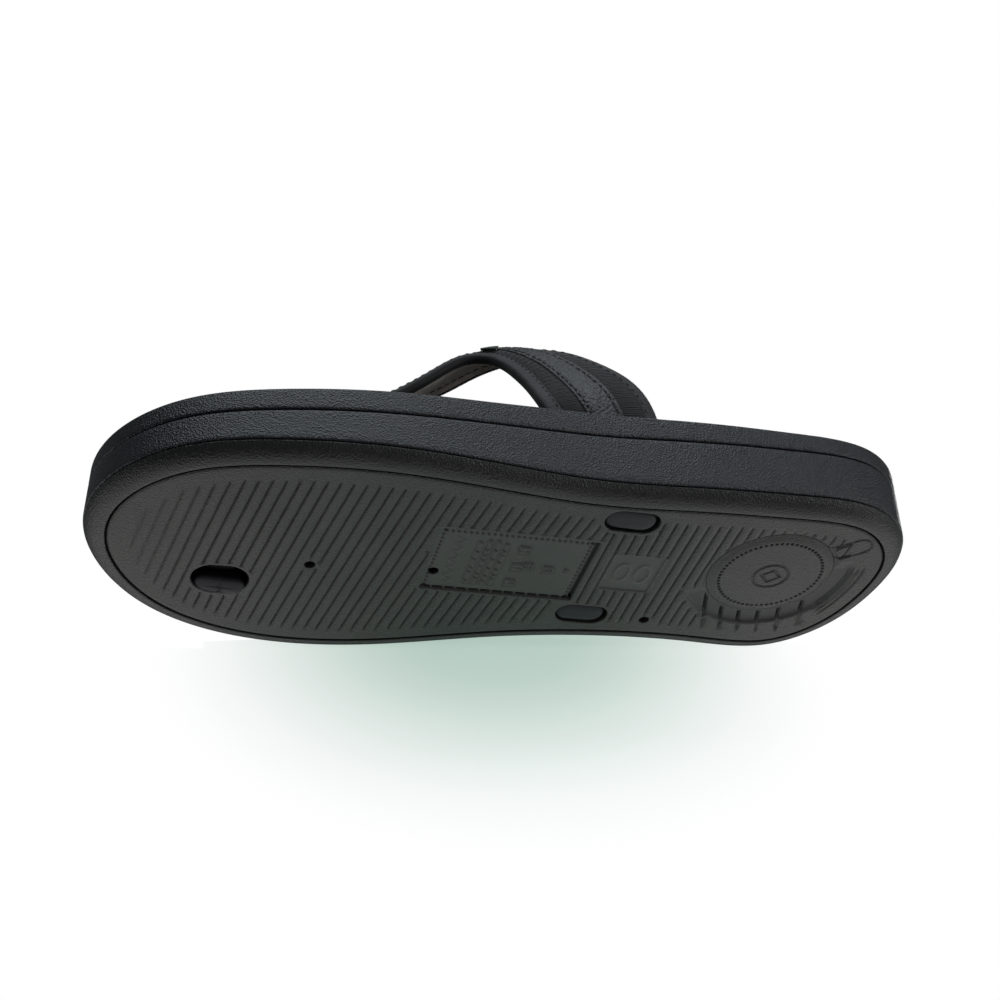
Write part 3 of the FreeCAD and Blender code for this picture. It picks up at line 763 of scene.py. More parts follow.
def heel_depth(p, inset):
    """Dished ring, short grooves and edge lines behind and inside the heel disc."""
    turn = heel_turn(p)
    radius = to_circle(p, DISC_CENTRE, 0)
    sector = smoothstep(-28, -14, turn) * fade(146, 156, turn)
    dish = fade(SCOOP_RADIUS - 2.6, SCOOP_RADIUS - 0.8, radius) * sector
    dish = dish * smoothstep(BORDER, BORDER + 1.6, inset)
    valley = fade(0.0, 2.2, radius - DISC_LIP)
    depth = EDGE_DROP * np.maximum(valley, dish)
    for y in (80.2, 87.2, 94.6, 102.4, 110.6, 119.4):
        across = p[:, 1] - y + 0.3 * (p[:, 0] + 16.0)
        line = fade(0.4, 0.85, np.abs(across))
        reach = smoothstep(-21.5, -20, p[:, 0]) * smoothstep(BORDER + 0.4, BORDER + 2, inset)
        depth += 1.1 * line * reach * (radius > DISC_LIP + 1.2) * (p[:, 0] < 0)
    for level in (BORDER + 1.2, BORDER + 3.4, BORDER + 5.4):
        line = fade(0.3, 0.7, np.abs(inset - level))
        depth += 0.6 * line * smoothstep(-20, -12, turn) * fade(30, 38, turn)
    for angle, level in ((-34, 27.0), (-47, 28.2)):
        line = fade(0.3, 0.7, np.abs(np.radians(turn - angle) * radius))
        depth += 0.7 * line * (np.abs(radius - level) < 2.6)
    ends = np.array([(31.0, 113.0), (36.2, 120.2)])
    along = ends[1] - ends[0]
    share = np.clip(((p - ends[0]) @ along) / (along @ along), 0, 1)
    loop = np.linalg.norm(p - ends[0] - share[:, None] * along, axis=1)
    depth += 0.5 * fade(0.25, 0.6, np.abs(loop - 4.0))
    return depth


def tread_depth(p):
    """Depth of the tread's underside above the ground at plan points."""
    inset = outline.inset_of(p)
    depth = rib_depth(p, inset) * smoothstep(0.0, 0.4, plain_distance(p))
    depth = np.where(in_scoop(p), 0.0, depth)
    for gap, relief in ((to_rect(p, LABEL_CENTRE, LABEL_HALF), label_depth(p)),
                        (to_rect(p, PATCH_CENTRE, PATCH_HALF), patch_depth(p))):
        depth = np.where(gap < 0, relief, depth)
    near_disc = to_circle(p, DISC_CENTRE, SCOOP_RADIUS + 8)
    depth += np.where(near_disc < 0, heel_depth(p, inset), 0)
    edge = np.min([gap(p, *shape) for gap, _, shape, _, _ in OPENINGS[1:]], axis=0)
    depth += 0.22 * fade(-0.1, 0.5, edge) ** 1.5
    depth += 0.4 * fade(-0.1, 0.75, inset - TREAD_INSET) ** 1.5
    return depth


def rib_rows(web):
    """Rows of points along every rib, where nothing else is in the way."""
    step = 1.7
    stations = np.arange(-56, 57, step)
    for (first, pitch, count), slope, front in ((FRONT_RIBS, RIB_TILT, True),
                                                (HEEL_RIBS, 0.0, False)):
        for number in range(count):
            for across, _ in RIB_SECTION:
                y = first + number * pitch + across + stations * slope
                line = np.stack([stations, y], axis=1)
                keep = outline.inset_of(line) > BORDER + 0.5
                keep &= ahead_of_change(line) == front
                keep &= (plain_distance(line) > 0.75) & ~in_scoop(line, 0.6)
                web.row(line, keep, 1.5 * step)


def build_tread():
    """One sheet with ribs, plates and openings, and the walls of its edge and openings."""
    web = Web()
    for inset in (TREAD_INSET, TREAD_INSET + 0.15, TREAD_INSET + 0.4, TREAD_INSET + 0.8):
        web.loop(outline.inner(inset))
    for inset in (10.6, BORDER):
        web.loop(outline.inner(inset)[::2])
    rib_rows(web)
    for centre, half, margin, fine in ((LABEL_CENTRE, LABEL_HALF, 1.0, 0.42),
                                       (PATCH_CENTRE, PATCH_HALF, 0.6, 0.5)):
        for grow in (margin + 0.4, margin, 0.08, -0.08):
            web.loop(rect_loop(centre, (half[0] + grow, half[1] + grow), 0.8))
        across = np.arange(-half[0] + 0.4, half[0] - 0.3, fine)
        along = np.arange(-half[1] + 0.4, half[1] - 0.3, fine)
        spots = grid_points(across, along) + np.array(centre)
        clear = np.min([to_circle(spots, vent, VENT_RADIUS) for vent in VENTS], axis=0)
        web.scatter(spots[clear > 0.9])
    for centre, length, width in RECESSES:
        for grow in (0.0, 0.15, 0.35, 0.7, 1.2, 1.6):
            web.loop(stadium_loop(centre, length + 2 * grow, width + 2 * grow, 0.7))
    for vent in VENTS:
        for grow in (0.0, 0.2, 0.5):
            web.loop(circle_loop(vent, VENT_RADIUS + grow, 0.4))
    for radius in (DISC_LIP, DISC_LIP + 0.4, DISC_LIP + 0.8, DISC_LIP + 1.2, MOAT_RADIUS,
                   MOAT_RADIUS + 0.6):
        web.loop(circle_loop(DISC_CENTRE, radius, 0.55))
    turns = np.radians(np.arange(-31, 157, 0.95))
    for radius in np.arange(MOAT_RADIUS + 0.9, SCOOP_RADIUS, 0.5):
        x = DISC_CENTRE[0] - radius * np.sin(turns)
        y = DISC_CENTRE[1] + radius * np.cos(turns)
        ring = np.stack([x, y], axis=1)
        web.scatter(ring[outline.inset_of(ring) > BORDER + 0.4])
    for inset in np.arange(TREAD_INSET + 1.1, BORDER + 6.5, 0.3):
        line = outline.inner(inset)
        turn = heel_turn(line)
        beyond = to_circle(line, DISC_CENTRE, SCOOP_RADIUS + 0.3) > 0
        web.scatter(line[(turn > -62) & (turn < 40) & beyond])
    across = np.arange(-12, 12.1, 0.42)
    spots = grid_points(across + 33, across + 112)
    clear = to_circle(spots, DISC_CENTRE, SCOOP_RADIUS + 0.3)
    clear = np.where(heel_turn(spots) > -31, clear, to_circle(spots, DISC_CENTRE, MOAT_RADIUS + 1))
    web.scatter(spots[(clear > 0) & (outline.inset_of(spots) > TREAD_INSET + 1)])

    plan, triangles = web.triangles()
    middle = plan[triangles].mean(axis=1)
    inside = outline.inset_of(middle) > TREAD_INSET
    for gap, _, shape, _, _ in OPENINGS:
        inside &= gap(middle, *shape) > 0
    points = [np.column_stack([plan, tread_depth(plan)])]
    faces = [tuple(face) for face in triangles[inside][:, ::-1].tolist()]
    walls = [(outline.inner(TREAD_INSET), 2.0)]
    walls += [(loop_of(*shape, step), top) for _, loop_of, shape, step, top in OPENINGS]
    for loop, top in walls:
        rim = tread_depth(loop)
        rows = [np.column_stack([loop, rim + (top - rim) * share]) for share in (0, 0.15, 0.5, 1)]
        opening = len(points) > 1
        add_wall(points, faces, rows, opening)
        if opening:
            total = sum(len(part) for part in points)
            faces.append(tuple(range(total - len(loop), total)))
    panel = piece("tread_panel", np.concatenate(points), faces, "tread",
                  ["tread_panel"])
    for key in ("plate", "scoop", "hollow"):
        panel.data.materials.append(MATERIALS[key])
    centres = np.zeros(3 * len(panel.data.polygons))
    panel.data.polygons.foreach_get("center", centres)
    centres = centres.reshape(-1, 3) / MM
    height, centres = centres[:, 2], centres[:, :2]
    plates = np.minimum(to_rect(centres, LABEL_CENTRE, LABEL_HALF),
                        to_rect(centres, PATCH_CENTRE, PATCH_HALF))
    # Index 2 gives the dish round the heel disc a smoother rubber darkened as painted shade; index 3
    # paints the deep walls of the openings near-black as shade.
    smooth = in_scoop(centres, -1.5) & (outline.inset_of(centres) > BORDER + 1)
    kind = np.where(plates < 0, 1, np.where(smooth, 2, 0))
    kind[(height > PAINTED_SHADE_HEIGHT) & (outline.inset_of(centres) > TREAD_INSET + 1)] = 3
    panel.data.polygons.foreach_set("material_index", kind)


build_tread()


# ---- heel disc

def build_disc():
    """Crowned medallion: broad bevel, ring of small pits, plain motif of ring and diamond."""
    turns, pits = 540, 63
    edge = DISC_RADIUS
    bead = edge - 4.3             # radius of the ring of pits
    radii = np.concatenate([np.arange(0.3, bead - 0.9, 0.27), np.arange(bead - 0.9, bead + 0.9, 0.2),
                            np.linspace(bead + 1.0, edge, 12)])
    angle = np.arange(turns) * 2 * math.pi / turns
    r, a = np.meshgrid(radii, angle, indexing="ij")
    height = 0.45 * (r / edge) ** 2 + (EDGE_DROP - 0.45) * smoothstep(bead + 0.6, edge + 0.4, r)
    phase = (a * pits / (2 * math.pi) + 0.5) % 1 - 0.5
    pit = np.hypot(phase * 2 * math.pi * bead / pits, r - bead)
    height += 0.8 * fade(0.25, 0.75, pit)
    height += 0.55 * fade(0.35, 0.7, np.abs(r - 6.6))
    diamond = (np.abs(r * np.cos(a)) + np.abs(r * np.sin(a)) - 3.6) / math.sqrt(2)
    height += 0.5 * fade(0.3, 0.6, np.abs(diamond))
    x = DISC_CENTRE[0] + r * np.cos(a)
    y = DISC_CENTRE[1] + r * np.sin(a)
    face_points = np.stack([x, y, height], axis=-1).reshape(-1, 3)
    back = np.stack([x[-1], y[-1], np.full(turns, 2.0)], axis=-1)
    centre = np.array([[DISC_CENTRE[0], DISC_CENTRE[1], 0.0]])
    rows = len(radii) + 1
    faces = grid_faces(rows, turns, close_columns=True)
    hub = rows * turns
    faces += [(hub, c, (c + 1) % turns) for c in range(turns)]
    faces.append(tuple(range((rows - 1) * turns, rows * turns)))
    orient(piece("heel_disc", np.concatenate([face_points, back, centre]), faces,
                 "tread", ["heel_disc"]))


build_disc()


# ---- plugs

PLUG_DOME = 0.3               # crown of a plug's face


def build_plug(name, shift, slope, taper_in, widen):
    """Rounded-end plug whose face may tilt; a moulding line crosses the toe plug."""
    low, high = node_box(name)
    centre = (low + high) / 2
    centre[:2] += shift[:2]
    long, wide = high[1] - low[1], high[0] - low[0] + widen
    # Inset and rise: hidden end, foot of the side wall, then the rounded edge and the face.
    section = ((taper_in, None), (0.0, 0.25), (0.12, -0.35), (0.4, -0.75), (0.8, -1.0),
               (1.3, -1.15), (2.0, -1.25), (2.9, -1.3), (3.8, -1.3))
    around = 112
    rows = []
    for inset, rise in section:
        inset = min(inset, wide / 2 - 0.25)
        loop = stadium_loop(centre, long - 2 * inset, wide - 2 * inset, 0.5)
        loop = resample(np.concatenate([loop, loop[:1]]), around, closed=True)
        x, y = loop[:, 0] - centre[0], loop[:, 1] - centre[1]
        face = low[2] + 1.4 + shift[2] + slope[0] * x + slope[1] * y
        face -= PLUG_DOME * (1 - (2 * x / wide) ** 2) * (1 - (2 * y / long) ** 2)
        if name == "toe_plug":
            face += 0.35 * fade(0.15, 0.4, np.abs(y))
        z = np.full(around, high[2] + 3.0) if rise is None else face + rise
        rows.append(np.column_stack([loop, z]))
    orient(piece(name, np.concatenate(rows), tube_faces(len(rows), around), "plug",
                 [name]))


# Shift of the face, its slopes along x and y, inset of the hidden end, extra width.
PLUGS = {"outer_plug": ((0.2, -0.7, -1.3), (0.0, -0.03), 0.8, 0.7),
         "inner_plug": ((0.1, -0.5, -1.3), (0.0, 0.0), 0.8, 0.7),
         "toe_plug": ((-1.9, 0.4, -1.0), (0.12, -0.04), 0.6, -1.6)}
for plug, form in PLUGS.items():
    build_plug(plug, *form)


# ---- footbed cover

COVER_INSET = 6.3             # edge of the cover, from the widest outline
COVER_LINE = 11.5             # pressed line round the cover
HOLE_STEP = 0.8               # spacing of the points round its holes
# Centre, length and width of the holes: two slits for the strap and one for the toe post.
SLITS = [((node_centre(side + "_tongue")[0], 29.3), 40.0, 6.6) for side in ("outer", "inner")]
POST_HOLE = (node_centre("toe_post"), 10.8, 6.8)


def cover_height(p):
    """Top of the foot-side sheet: edge, pressed line, heel cup, ball hollow and holes."""
    inset = outline.inset_of(p)
    top = outline.rim(p[:, 1]) - 1.0
    top -= 0.75 * fade(-0.1, 0.9, inset - COVER_INSET) ** 1.5
    cup = smoothstep(16, 40, inset) * fade(30, 45, np.abs(p[:, 1] - 96))
    ball = smoothstep(14, 40, inset) * fade(25, 55, np.abs(p[:, 1] + 70))
    top -= 0.9 * cup + 0.6 * ball
    top -= 0.45 * fade(0.25, 0.7, np.abs(inset - COVER_LINE))
    for slit in SLITS:
        top -= 0.7 * fade(0, 0.9, to_stadium(p, *slit)) ** 1.5
    return top - 0.6 * fade(0, 1.2, to_stadium(p, *POST_HOLE))


def leaned(flat, z):
    """Plan points moved with the lean of the sole's walls to their height."""
    return np.column_stack([flat[:, 0], flat[:, 1] + outline.lean(flat[:, 1]) * z, z])


def build_cover():
    """Sheet the foot stands on, with walls that go down into the footbed."""
    web = Web()
    edge = [COVER_INSET + gap for gap in (0, 0.15, 0.4, 0.8, 1.7)]
    press = [COVER_LINE + gap for gap in (-0.9, -0.6, -0.3, 0, 0.3, 0.6, 1.0, 3.5)]
    for inset in edge + press:
        web.loop(outline.inner(inset)[::2])
    holes = SLITS + [POST_HOLE]
    for centre, length, width in holes:
        for grow in (0.0, 0.15, 0.4, 0.9):
            web.loop(stadium_loop(centre, length + 2 * grow, width + 2 * grow, HOLE_STEP))
    spots = grid_points(np.arange(-45, 46, 1.6), np.arange(-135, 136, 1.6))
    keep = outline.inset_of(spots) > 16
    for hole in holes:
        keep &= to_stadium(spots, *hole) > 1.6
    web.scatter(spots[keep])
    plan, triangles = web.triangles()
    middle = plan[triangles].mean(axis=1)
    inside = outline.inset_of(middle) > COVER_INSET
    for hole in holes:
        inside &= to_stadium(middle, *hole) > 0
    points = [leaned(plan, cover_height(plan))]
    faces = [tuple(face) for face in triangles[inside].tolist()]
    walls = [(outline.inner(COVER_INSET)[::2], 2.6)]
    walls += [(stadium_loop(*hole, HOLE_STEP), 9.0) for hole in holes]
    for loop, deep in walls:
        rim = cover_height(loop)
        floor = outline.rim(loop[:, 1]) - deep
        rows = [leaned(loop, rim + (floor - rim) * share) for share in (0, 0.3, 1)]
        add_wall(points, faces, rows, len(points) == 1)
    piece("footbed_cover", np.concatenate(points), faces, "cover",
          ["footbed_cover"])


build_cover()


def build_cover_stitches():
    """Row of stitches in the pressed line round the footbed cover."""
    pitch, long, rings, step = 3.6, 2.5, 6, 0.1
    line = outline.inner(COVER_LINE)
    line = resample(np.concatenate([line, line[:1]]), int(length_of(line) / step), closed=True)
    along = unit(np.roll(line, -1, axis=0) - np.roll(line, 1, axis=0))
    across = np.column_stack([-along[:, 1], along[:, 0], np.zeros(len(line))])
    upwards = np.tile((0.0, 0.0, 1.0), (rings, 1))
    height = cover_height(line)
    rise = np.sin(np.linspace(0, math.pi, rings)) ** 0.5
    swell = 0.4 + 0.6 * rise
    points, faces = [], []
    for first in np.arange(0, len(line) - long / step, pitch / step):
        rows = np.round(first + np.linspace(0, long / step, rings)).astype(int) % len(line)
        centres = leaned(line[rows], height[rows] - 0.1 + 0.22 * rise)
        add_stitch(points, faces, centres, across[rows], upwards, 0.26 * swell, 0.2 * swell)
    orient(piece("cover_stitches", points, faces, "thread"))


build_cover_stitches()


# ---- strap arms

# Depths under the strap's outer face: back of the upper, of the padding and of the lining.
UPPER, PADDING, TOTAL = 0.6, 3.0, 3.7
BINDING = 5.8                 # width of the binding on the outer face
BINDING_UNDER = 0.3           # share of the binding's flat part on the foot side
LINING_ROW = 6.6              # from the rear edge to the stitch row on the lining
OVERLAY_ROW = 1.9             # from an edge of the overlay to its stitch row
SEAMS = (0.133, 0.317, 0.65, 0.85)    # shares of the width: binding, overlay, overlay, binding


class Arm:
    """Frames along one arm of the strap, read from the edges of its CAD upper."""

    STEP = 0.3
    EDGE = 0.3                # from the sharp edge of the CAD upper to the edge of the strap
    EDGE_POINTS = 1600

    def __init__(self, side):
        self.side = side
        edges = sorted(sharp_chains(side + "_upper"), key=length_of)[-4:]
        edges = [edge if edge[0, 1] > edge[-1, 1] else edge[::-1] for edge in edges]
        edges = [resample(edge, self.EDGE_POINTS) for edge in edges]
        lining = np.array([v.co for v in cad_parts[side + "_lining"].data.vertices]) / MM

        def from_lining(edge):
            gap = np.linalg.norm(edge[::80, None] - lining[None], axis=2)
            return gap.min(axis=1).mean()

        edges.sort(key=lambda edge: edge[:, 1].mean())
        front = max(edges[:2], key=from_lining)
        rear = max(edges[2:], key=from_lining)
        inside = min(edges[:2], key=from_lining)
        count = int(length_of((front + rear) / 2) / self.STEP)
        pair = (resample(front, count), resample(rear, count))
        for _ in range(4):
            middle = smoothed((pair[0] + pair[1]) / 2, 8)
            along = unit(np.gradient(middle, axis=0))
            pair = tuple(self.cross(edge, middle, along, count) for edge in (front, rear))
        self.count = count
        self.along = along
        across = pair[1] - pair[0]
        self.width = np.linalg.norm(across, axis=1) + 2 * self.EDGE
        self.across = unit(across)
        self.start = pair[0] - self.across * self.EDGE
        normal = unit(np.cross(self.across, self.along))
        thick = resample(front, self.EDGE_POINTS)[::40] - inside[::40]
        if (normal[np.linspace(0, count - 1, len(thick)).astype(int)] * thick).sum() < 0:
            normal = -normal
        self.normal = normal
        self.crown = self.measured_crown()
        self.run = np.arange(count) * self.STEP

    @staticmethod
    def cross(edge, middle, along, count):
        """Where the plane square to the middle line cuts an edge, for every station."""
        picks = np.zeros(count)
        size = len(edge)
        for i in range(count):
            guess = i / (count - 1) * (size - 1)
            low, high = int(max(0, guess - size * 0.09)), int(min(size, guess + size * 0.09)) + 1
            side = (edge[low:high] - middle[i]) @ along[i]
            picks[i] = low + np.argmin(np.abs(side))
        picks = np.maximum.accumulate(smoothed(picks[:, None], 6)[:, 0])
        picks = np.clip(picks, 0, size - 1)
        picks[0], picks[-1] = 0, size - 1
        stations = np.arange(size)
        return np.stack([np.interp(picks, stations, edge[:, k]) for k in range(3)], axis=1)

    def measured_crown(self):
        """How far the middle of the CAD upper bulges out of the line between its edges."""
        bm = node_bmesh(self.side + "_upper")
        tree = BVHTree.FromBMesh(bm)
        bm.free()
        crown = np.full(self.count, np.nan)
        above_arm = 6
        for i in range(0, self.count, 6):
            middle = self.start[i] + self.across[i] * self.width[i] / 2
            origin = (middle + self.normal[i] * above_arm) * MM
            hit, _, _, gap = tree.ray_cast(Vector(origin), Vector(-self.normal[i]))
            if hit is not None and 0 < above_arm - gap / MM < 5:
                crown[i] = above_arm - gap / MM
        known = ~np.isnan(crown)
        crown = np.interp(np.arange(self.count), np.flatnonzero(known), crown[known])
        return smoothed(crown[:, None], 10)[:, 0]

    def at(self, share, depth, rows=slice(None)):
        """Points at shares of the width (rows x columns) and depths under the outer face."""
        share, depth = np.asarray(share, float), np.asarray(depth, float)
        crown, width = self.crown[rows, None], self.width[rows, None]
        slope = crown * 4 * (1 - 2 * share) / width
        tilt = 1 / np.sqrt(1 + slope ** 2)
        across = share * width + slope * tilt * depth
        rise = crown * 4 * share * (1 - share) - depth * tilt
        return (self.start[rows, None, :] + self.across[rows, None, :] * across[..., None]
                + self.normal[rows, None, :] * rise[..., None])


def puff(share):
    """Soft padding that swells between the seams."""
    swell = np.zeros_like(share)
    stations = (0.0,) + SEAMS + (1.0,)
    for low, high, height in zip(stations, stations[1:], (0.0, 0.32, 0.2, 0.3, 0.0)):
        t = np.clip((share - low) / (high - low), 0, 1)
        swell += height * np.sin(math.pi * t) ** 0.6 * ((share >= low) & (share < high))
    return swell


def taper(arm, rows=slice(None)):
    """Shrinks relief where the arm narrows towards the toe post."""
    return np.clip(arm.width[rows, None] / 24.0, 0.25, 1.0)


def binding_reach(width):
    """Width of the binding, which narrows with the arm."""
    return BINDING * np.clip(width / 30.0, 0.0, 1.0)


def lining_row(width):
    """Distance of the lining's stitch row from the rear edge, as a share of the width."""
    return LINING_ROW / np.maximum(width, 14)


def build_layer(arm, part, outer, inner, slot, material, run=None):
    """A layer of the arm between two faces, each rows x columns of points."""
    name = arm.side + "_" + part
    return band_piece(name, np.concatenate([outer, inner[:, ::-1]], axis=1), material, [name],
                      run)


def knit_ribs(arm, share):
    """Cross ribs of the textile, a little uneven."""
    pitch = 1.15
    run = arm.run[:, None]
    drift = 0.35 * np.sin(share * 9 + run * 0.06)
    return 0.17 * np.abs(np.sin(math.pi * (run + drift) / pitch)) ** 0.8


def build_upper(arm):
    share = np.linspace(0.05, 0.95, 46)[None, :]
    ribbed = smoothstep(0.1, 0.14, share) * fade(0.86, 0.9, share)
    outer = arm.at(share, 0.1 - (puff(share) + ribbed * knit_ribs(arm, share)) * taper(arm))
    build_layer(arm, "upper", outer, arm.at(share, UPPER), "ribbed_textile", "knit", arm.run)


def build_padding(arm):
    rows = slice(0, arm.count, 5)
    share = np.linspace(0.03, 0.97, 24)[None, :]
    round_off = 0.55 * (1 - np.sin(math.pi * share) ** 0.35)
    outer = arm.at(share, UPPER + 0.02 + round_off, rows)
    inner = arm.at(share, PADDING - 0.02 - round_off, rows)
    pad = build_layer(arm, "padding", outer, inner, "strap_padding", "foam")


def build_lining(arm):
    """Foot-side lining with a soft swell and a line pressed in along its stitch row."""
    rows = slice(0, arm.count, 2)
    width = arm.width[rows, None]
    margin = np.minimum(2.5 / width, 0.3)
    share = margin + (1 - 2 * margin) * np.linspace(0, 1, 60)
    swell = 0.35 * np.sin(math.pi * share) ** 0.5
    swell -= 0.3 * fade(0.3, 1.2, np.abs(share - 1 + lining_row(width)) * width)
    wrinkle = 0.06 * np.sin(arm.run[rows, None] * 1.1 + 5 * share) * np.sin(3.1 * share * math.pi)
    foot_side = arm.at(share, TOTAL + (swell + wrinkle) * taper(arm, rows), rows)
    build_layer(arm, "lining", foot_side, arm.at(share, PADDING + 0.02, rows), "lining", "lining")


def build_overlay(arm):
    """Pebbled overlay with turned edges, pulled in a little along its two stitch rows."""
    low, high = SEAMS[1], SEAMS[2]
    t = np.linspace(0, 1, 44)[None, :]
    share = low + (high - low) * t
    from_edge = np.minimum(t, 1 - t) * (high - low) * arm.width[:, None]
    rise = 0.75 * np.sqrt(np.clip(1 - (1 - np.clip(from_edge / 0.8, 0, 1)) ** 2, 0, 1))
    stitch = fade(0.25, 0.9, np.abs(from_edge - OVERLAY_ROW))
    rise = rise - 0.28 * stitch + puff(share) * 0.9 * (1 - 0.8 * stitch)
    surface = arm.at(share, -rise * taper(arm) ** 0.5)
    grain = np.array([noise.voronoi(Vector(p) * 0.95)[0][0] for p in surface.reshape(-1, 3)])
    grain = grain.reshape(surface.shape[:2]) * smoothstep(0.1, 0.8, from_edge)
    surface = surface - arm.normal[:, None, :] * (grain * 0.5)[..., None]
    build_layer(arm, "overlay", surface, arm.at(share, 0.3), "overlay_leather", "overlay")


def build_binding(arm, front):
    """Satin tape that wraps one edge of the stack, gathered very slightly along its length."""
    width = arm.width[:, None]
    half = TOTAL / 2 + 0.35
    flat = binding_reach(width) - half
    # The path goes along the outer face, round the edge as a half circle and back underneath.
    total = (1 + BINDING_UNDER) * flat + math.pi * half
    run = np.linspace(0, 1, 40)[None, :] * total
    on_top = np.clip(run, 0, flat)
    angle = np.clip((run - flat) / half, 0, math.pi)
    below = np.clip(run - flat - math.pi * half, 0, flat * BINDING_UNDER)
    from_edge = half + (flat - on_top) - half * np.sin(angle) + below
    depth = TOTAL / 2 - half * np.cos(angle)
    hem = 0.3 * fade(0.0, 0.9, run) + 0.3 * smoothstep(total - 0.9, total, run)
    sign = np.where(depth < TOTAL / 2, 1, -1)
    gather = 0.05 * np.sin(2 * math.pi * arm.run[:, None] / 0.9 + 1.3 * np.sin(run * 0.8))
    depth = depth + sign * hem - sign * gather * taper(arm)
    thickness = 0.3
    inner_depth = TOTAL / 2 + (depth - TOTAL / 2) * (1 - thickness / half)
    faces = [arm.at(share if front else 1 - share, deep) for share, deep in (
        (from_edge / width, depth), ((from_edge + thickness * np.sin(angle)) / width, inner_depth))]
    build_layer(arm, "front_binding" if front else "rear_binding", *faces, "binding", "binding",
                arm.run)


def build_stitches(arm, name, share_of, depth):
    """Row of separate stitches that dip into the cloth at both ends."""
    margin, long, pitch = int(4 / arm.STEP), 2.3 / arm.STEP, 3.3 / arm.STEP
    lift = np.sin(np.linspace(0, math.pi, 7)) ** 0.5
    fat = 0.21 * (0.35 + 0.65 * lift)
    points, faces = [], []
    position = margin
    while position + long < arm.count - margin:
        rows = np.round(np.linspace(position, position + long, len(lift))).astype(int)
        share = share_of(arm.width[rows])[:, None]
        centres = arm.at(share, depth + 0.2 - lift[:, None] * 0.32, rows)[:, 0]
        add_stitch(points, faces, centres, arm.across[rows], arm.normal[rows], 1.25 * fat, fat)
        position += pitch
    orient(piece("%s_%s" % (arm.side, name), points, faces, "thread"))


def build_stitching(arm):
    """Rows through the overlay and beside both bindings, and one row on the lining."""
    def beside_binding(width):
        return (binding_reach(width) - 0.9) / width

    for name, share_of, depth in (
            ("overlay_front_stitches", lambda width: SEAMS[1] + OVERLAY_ROW / width, -0.42),
            ("overlay_rear_stitches", lambda width: SEAMS[2] - OVERLAY_ROW / width, -0.42),
            ("front_stitches", beside_binding, -0.34),
            ("rear_stitches", lambda width: 1 - beside_binding(width), -0.34)):
        build_stitches(arm, name, share_of, depth)
    build_stitches(arm, "lining_stitches", lambda width: 1 - lining_row(width),
                   TOTAL + 0.42)


ARMS = [Arm("outer"), Arm("inner")]
for strap in ARMS:
    build_upper(strap)
    build_padding(strap)
    build_lining(strap)
    build_overlay(strap)
    build_binding(strap, True)
    build_binding(strap, False)
    build_stitching(strap)


# ---- toe post and wrap

def rounded(turn, half, power):
    """Points of a closed curve between an ellipse (power 1) and a rectangle (power 0)."""
    return [h * np.sign(f(turn)) * np.abs(f(turn)) ** power for h, f in zip(half, (np.cos, np.sin))]


def build_post():
    """Moulded thong post with a collar on the foot side."""
    centre = node_centre("toe_post")
    low, high = node_box("toe_post")
    sole_top = float(cover_height(centre[None, :2])[0])
    turn = np.arange(48) * 2 * math.pi / 48
    levels = [(low[2], 2.9, 4.9), (sole_top - 2, 2.9, 4.9), (sole_top + 0.2, 3.0, 5.0),
              (sole_top + 0.8, 4.6, 6.8), (sole_top + 1.5, 4.8, 7.0), (sole_top + 2.1, 4.3, 6.5),
              (sole_top + 2.6, 3.3, 5.4), (sole_top + 3.6, 2.9, 4.9), (high[2] - 4, 2.9, 4.9),
              (high[2] - 2, 3.6, 5.5), (high[2], 4.4, 6.0)]
    rings = []
    for z, *half in levels:
        x, y = rounded(turn, half, 0.8)
        rings.append(np.column_stack([centre[0] + x, centre[1] + y, np.full(len(turn), z)]))
    band_piece("toe_post", np.stack(rings), "post", ["toe_post"])


def build_wrap():
    """Leather sleeve round the ends of both arms, closed by a rounded nose."""
    corners = np.array([[0.0, 1.0, 1.0, 0.0]])
    depths = np.array([[0.0, 0.0, TOTAL, TOTAL]])
    back = [np.concatenate([arm.at(corners, depths, [arm.count - 1 - int(gap / arm.STEP)])[0]
                            for arm in ARMS]) for gap in (9.0, 6.0, 3.0, 0.6)]
    ahead = unit(back[-1].mean(axis=0) - back[0].mean(axis=0))
    side = unit(np.cross((0, 0, 1), ahead))
    up = np.cross(ahead, side)
    turn = np.arange(40) * 2 * math.pi / 40
    rings = []

    def ring(points, move, grow, scale=1.0):
        place = points @ np.column_stack([side, up, ahead])
        low, high = place.min(axis=0), place.max(axis=0)
        x, y = rounded(turn, ((high - low) / 2 + grow) * scale, 0.6)
        middle = (low + high) / 2
        rings.append((x + middle[0])[:, None] * side + (y + middle[1])[:, None] * up
                     + (place[:, 2].mean() + move) * ahead)

    ring(back[0], 0.3, -0.6)
    ring(back[0], 0.0, 0.1)
    for points in back:
        ring(points, 0.2, 0.6)
    for move, scale in ((1.9, 0.97), (3.0, 0.82), (3.7, 0.5), (3.9, 0.15)):
        ring(back[-1], move, 0.6, scale)
    wrap = band_piece("toe_wrap", np.stack(rings), "overlay")
    smooth = wrap.modifiers.new("round", "SUBSURF")
    smooth.levels = smooth.render_levels = 2


build_post()
build_wrap()


def build_tag():
    """Small folded label that lies on the outer arm near the top."""
    arm = ARMS[0]
    top = int(np.argmax(arm.start[:, 2]))
    rows = np.arange(top - 52, top - 22, 2)
    share = np.linspace(0.2, 0.34, 6)[None, :]
    faces = arm.at(share, -1.7, rows), arm.at(share, -0.9, rows)[:, ::-1]
    band_piece("strap_tag", np.concatenate(faces, axis=1), "tag")


build_tag()

# The woven tongues keep their CAD shape: only their ends show, inside the recesses.
for side in ("outer", "inner"):
    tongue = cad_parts[side + "_tongue"]
    tongue.data.materials.clear()
    tongue.data.materials.append(MATERIALS["webbing"])


# ---- stage, light and camera

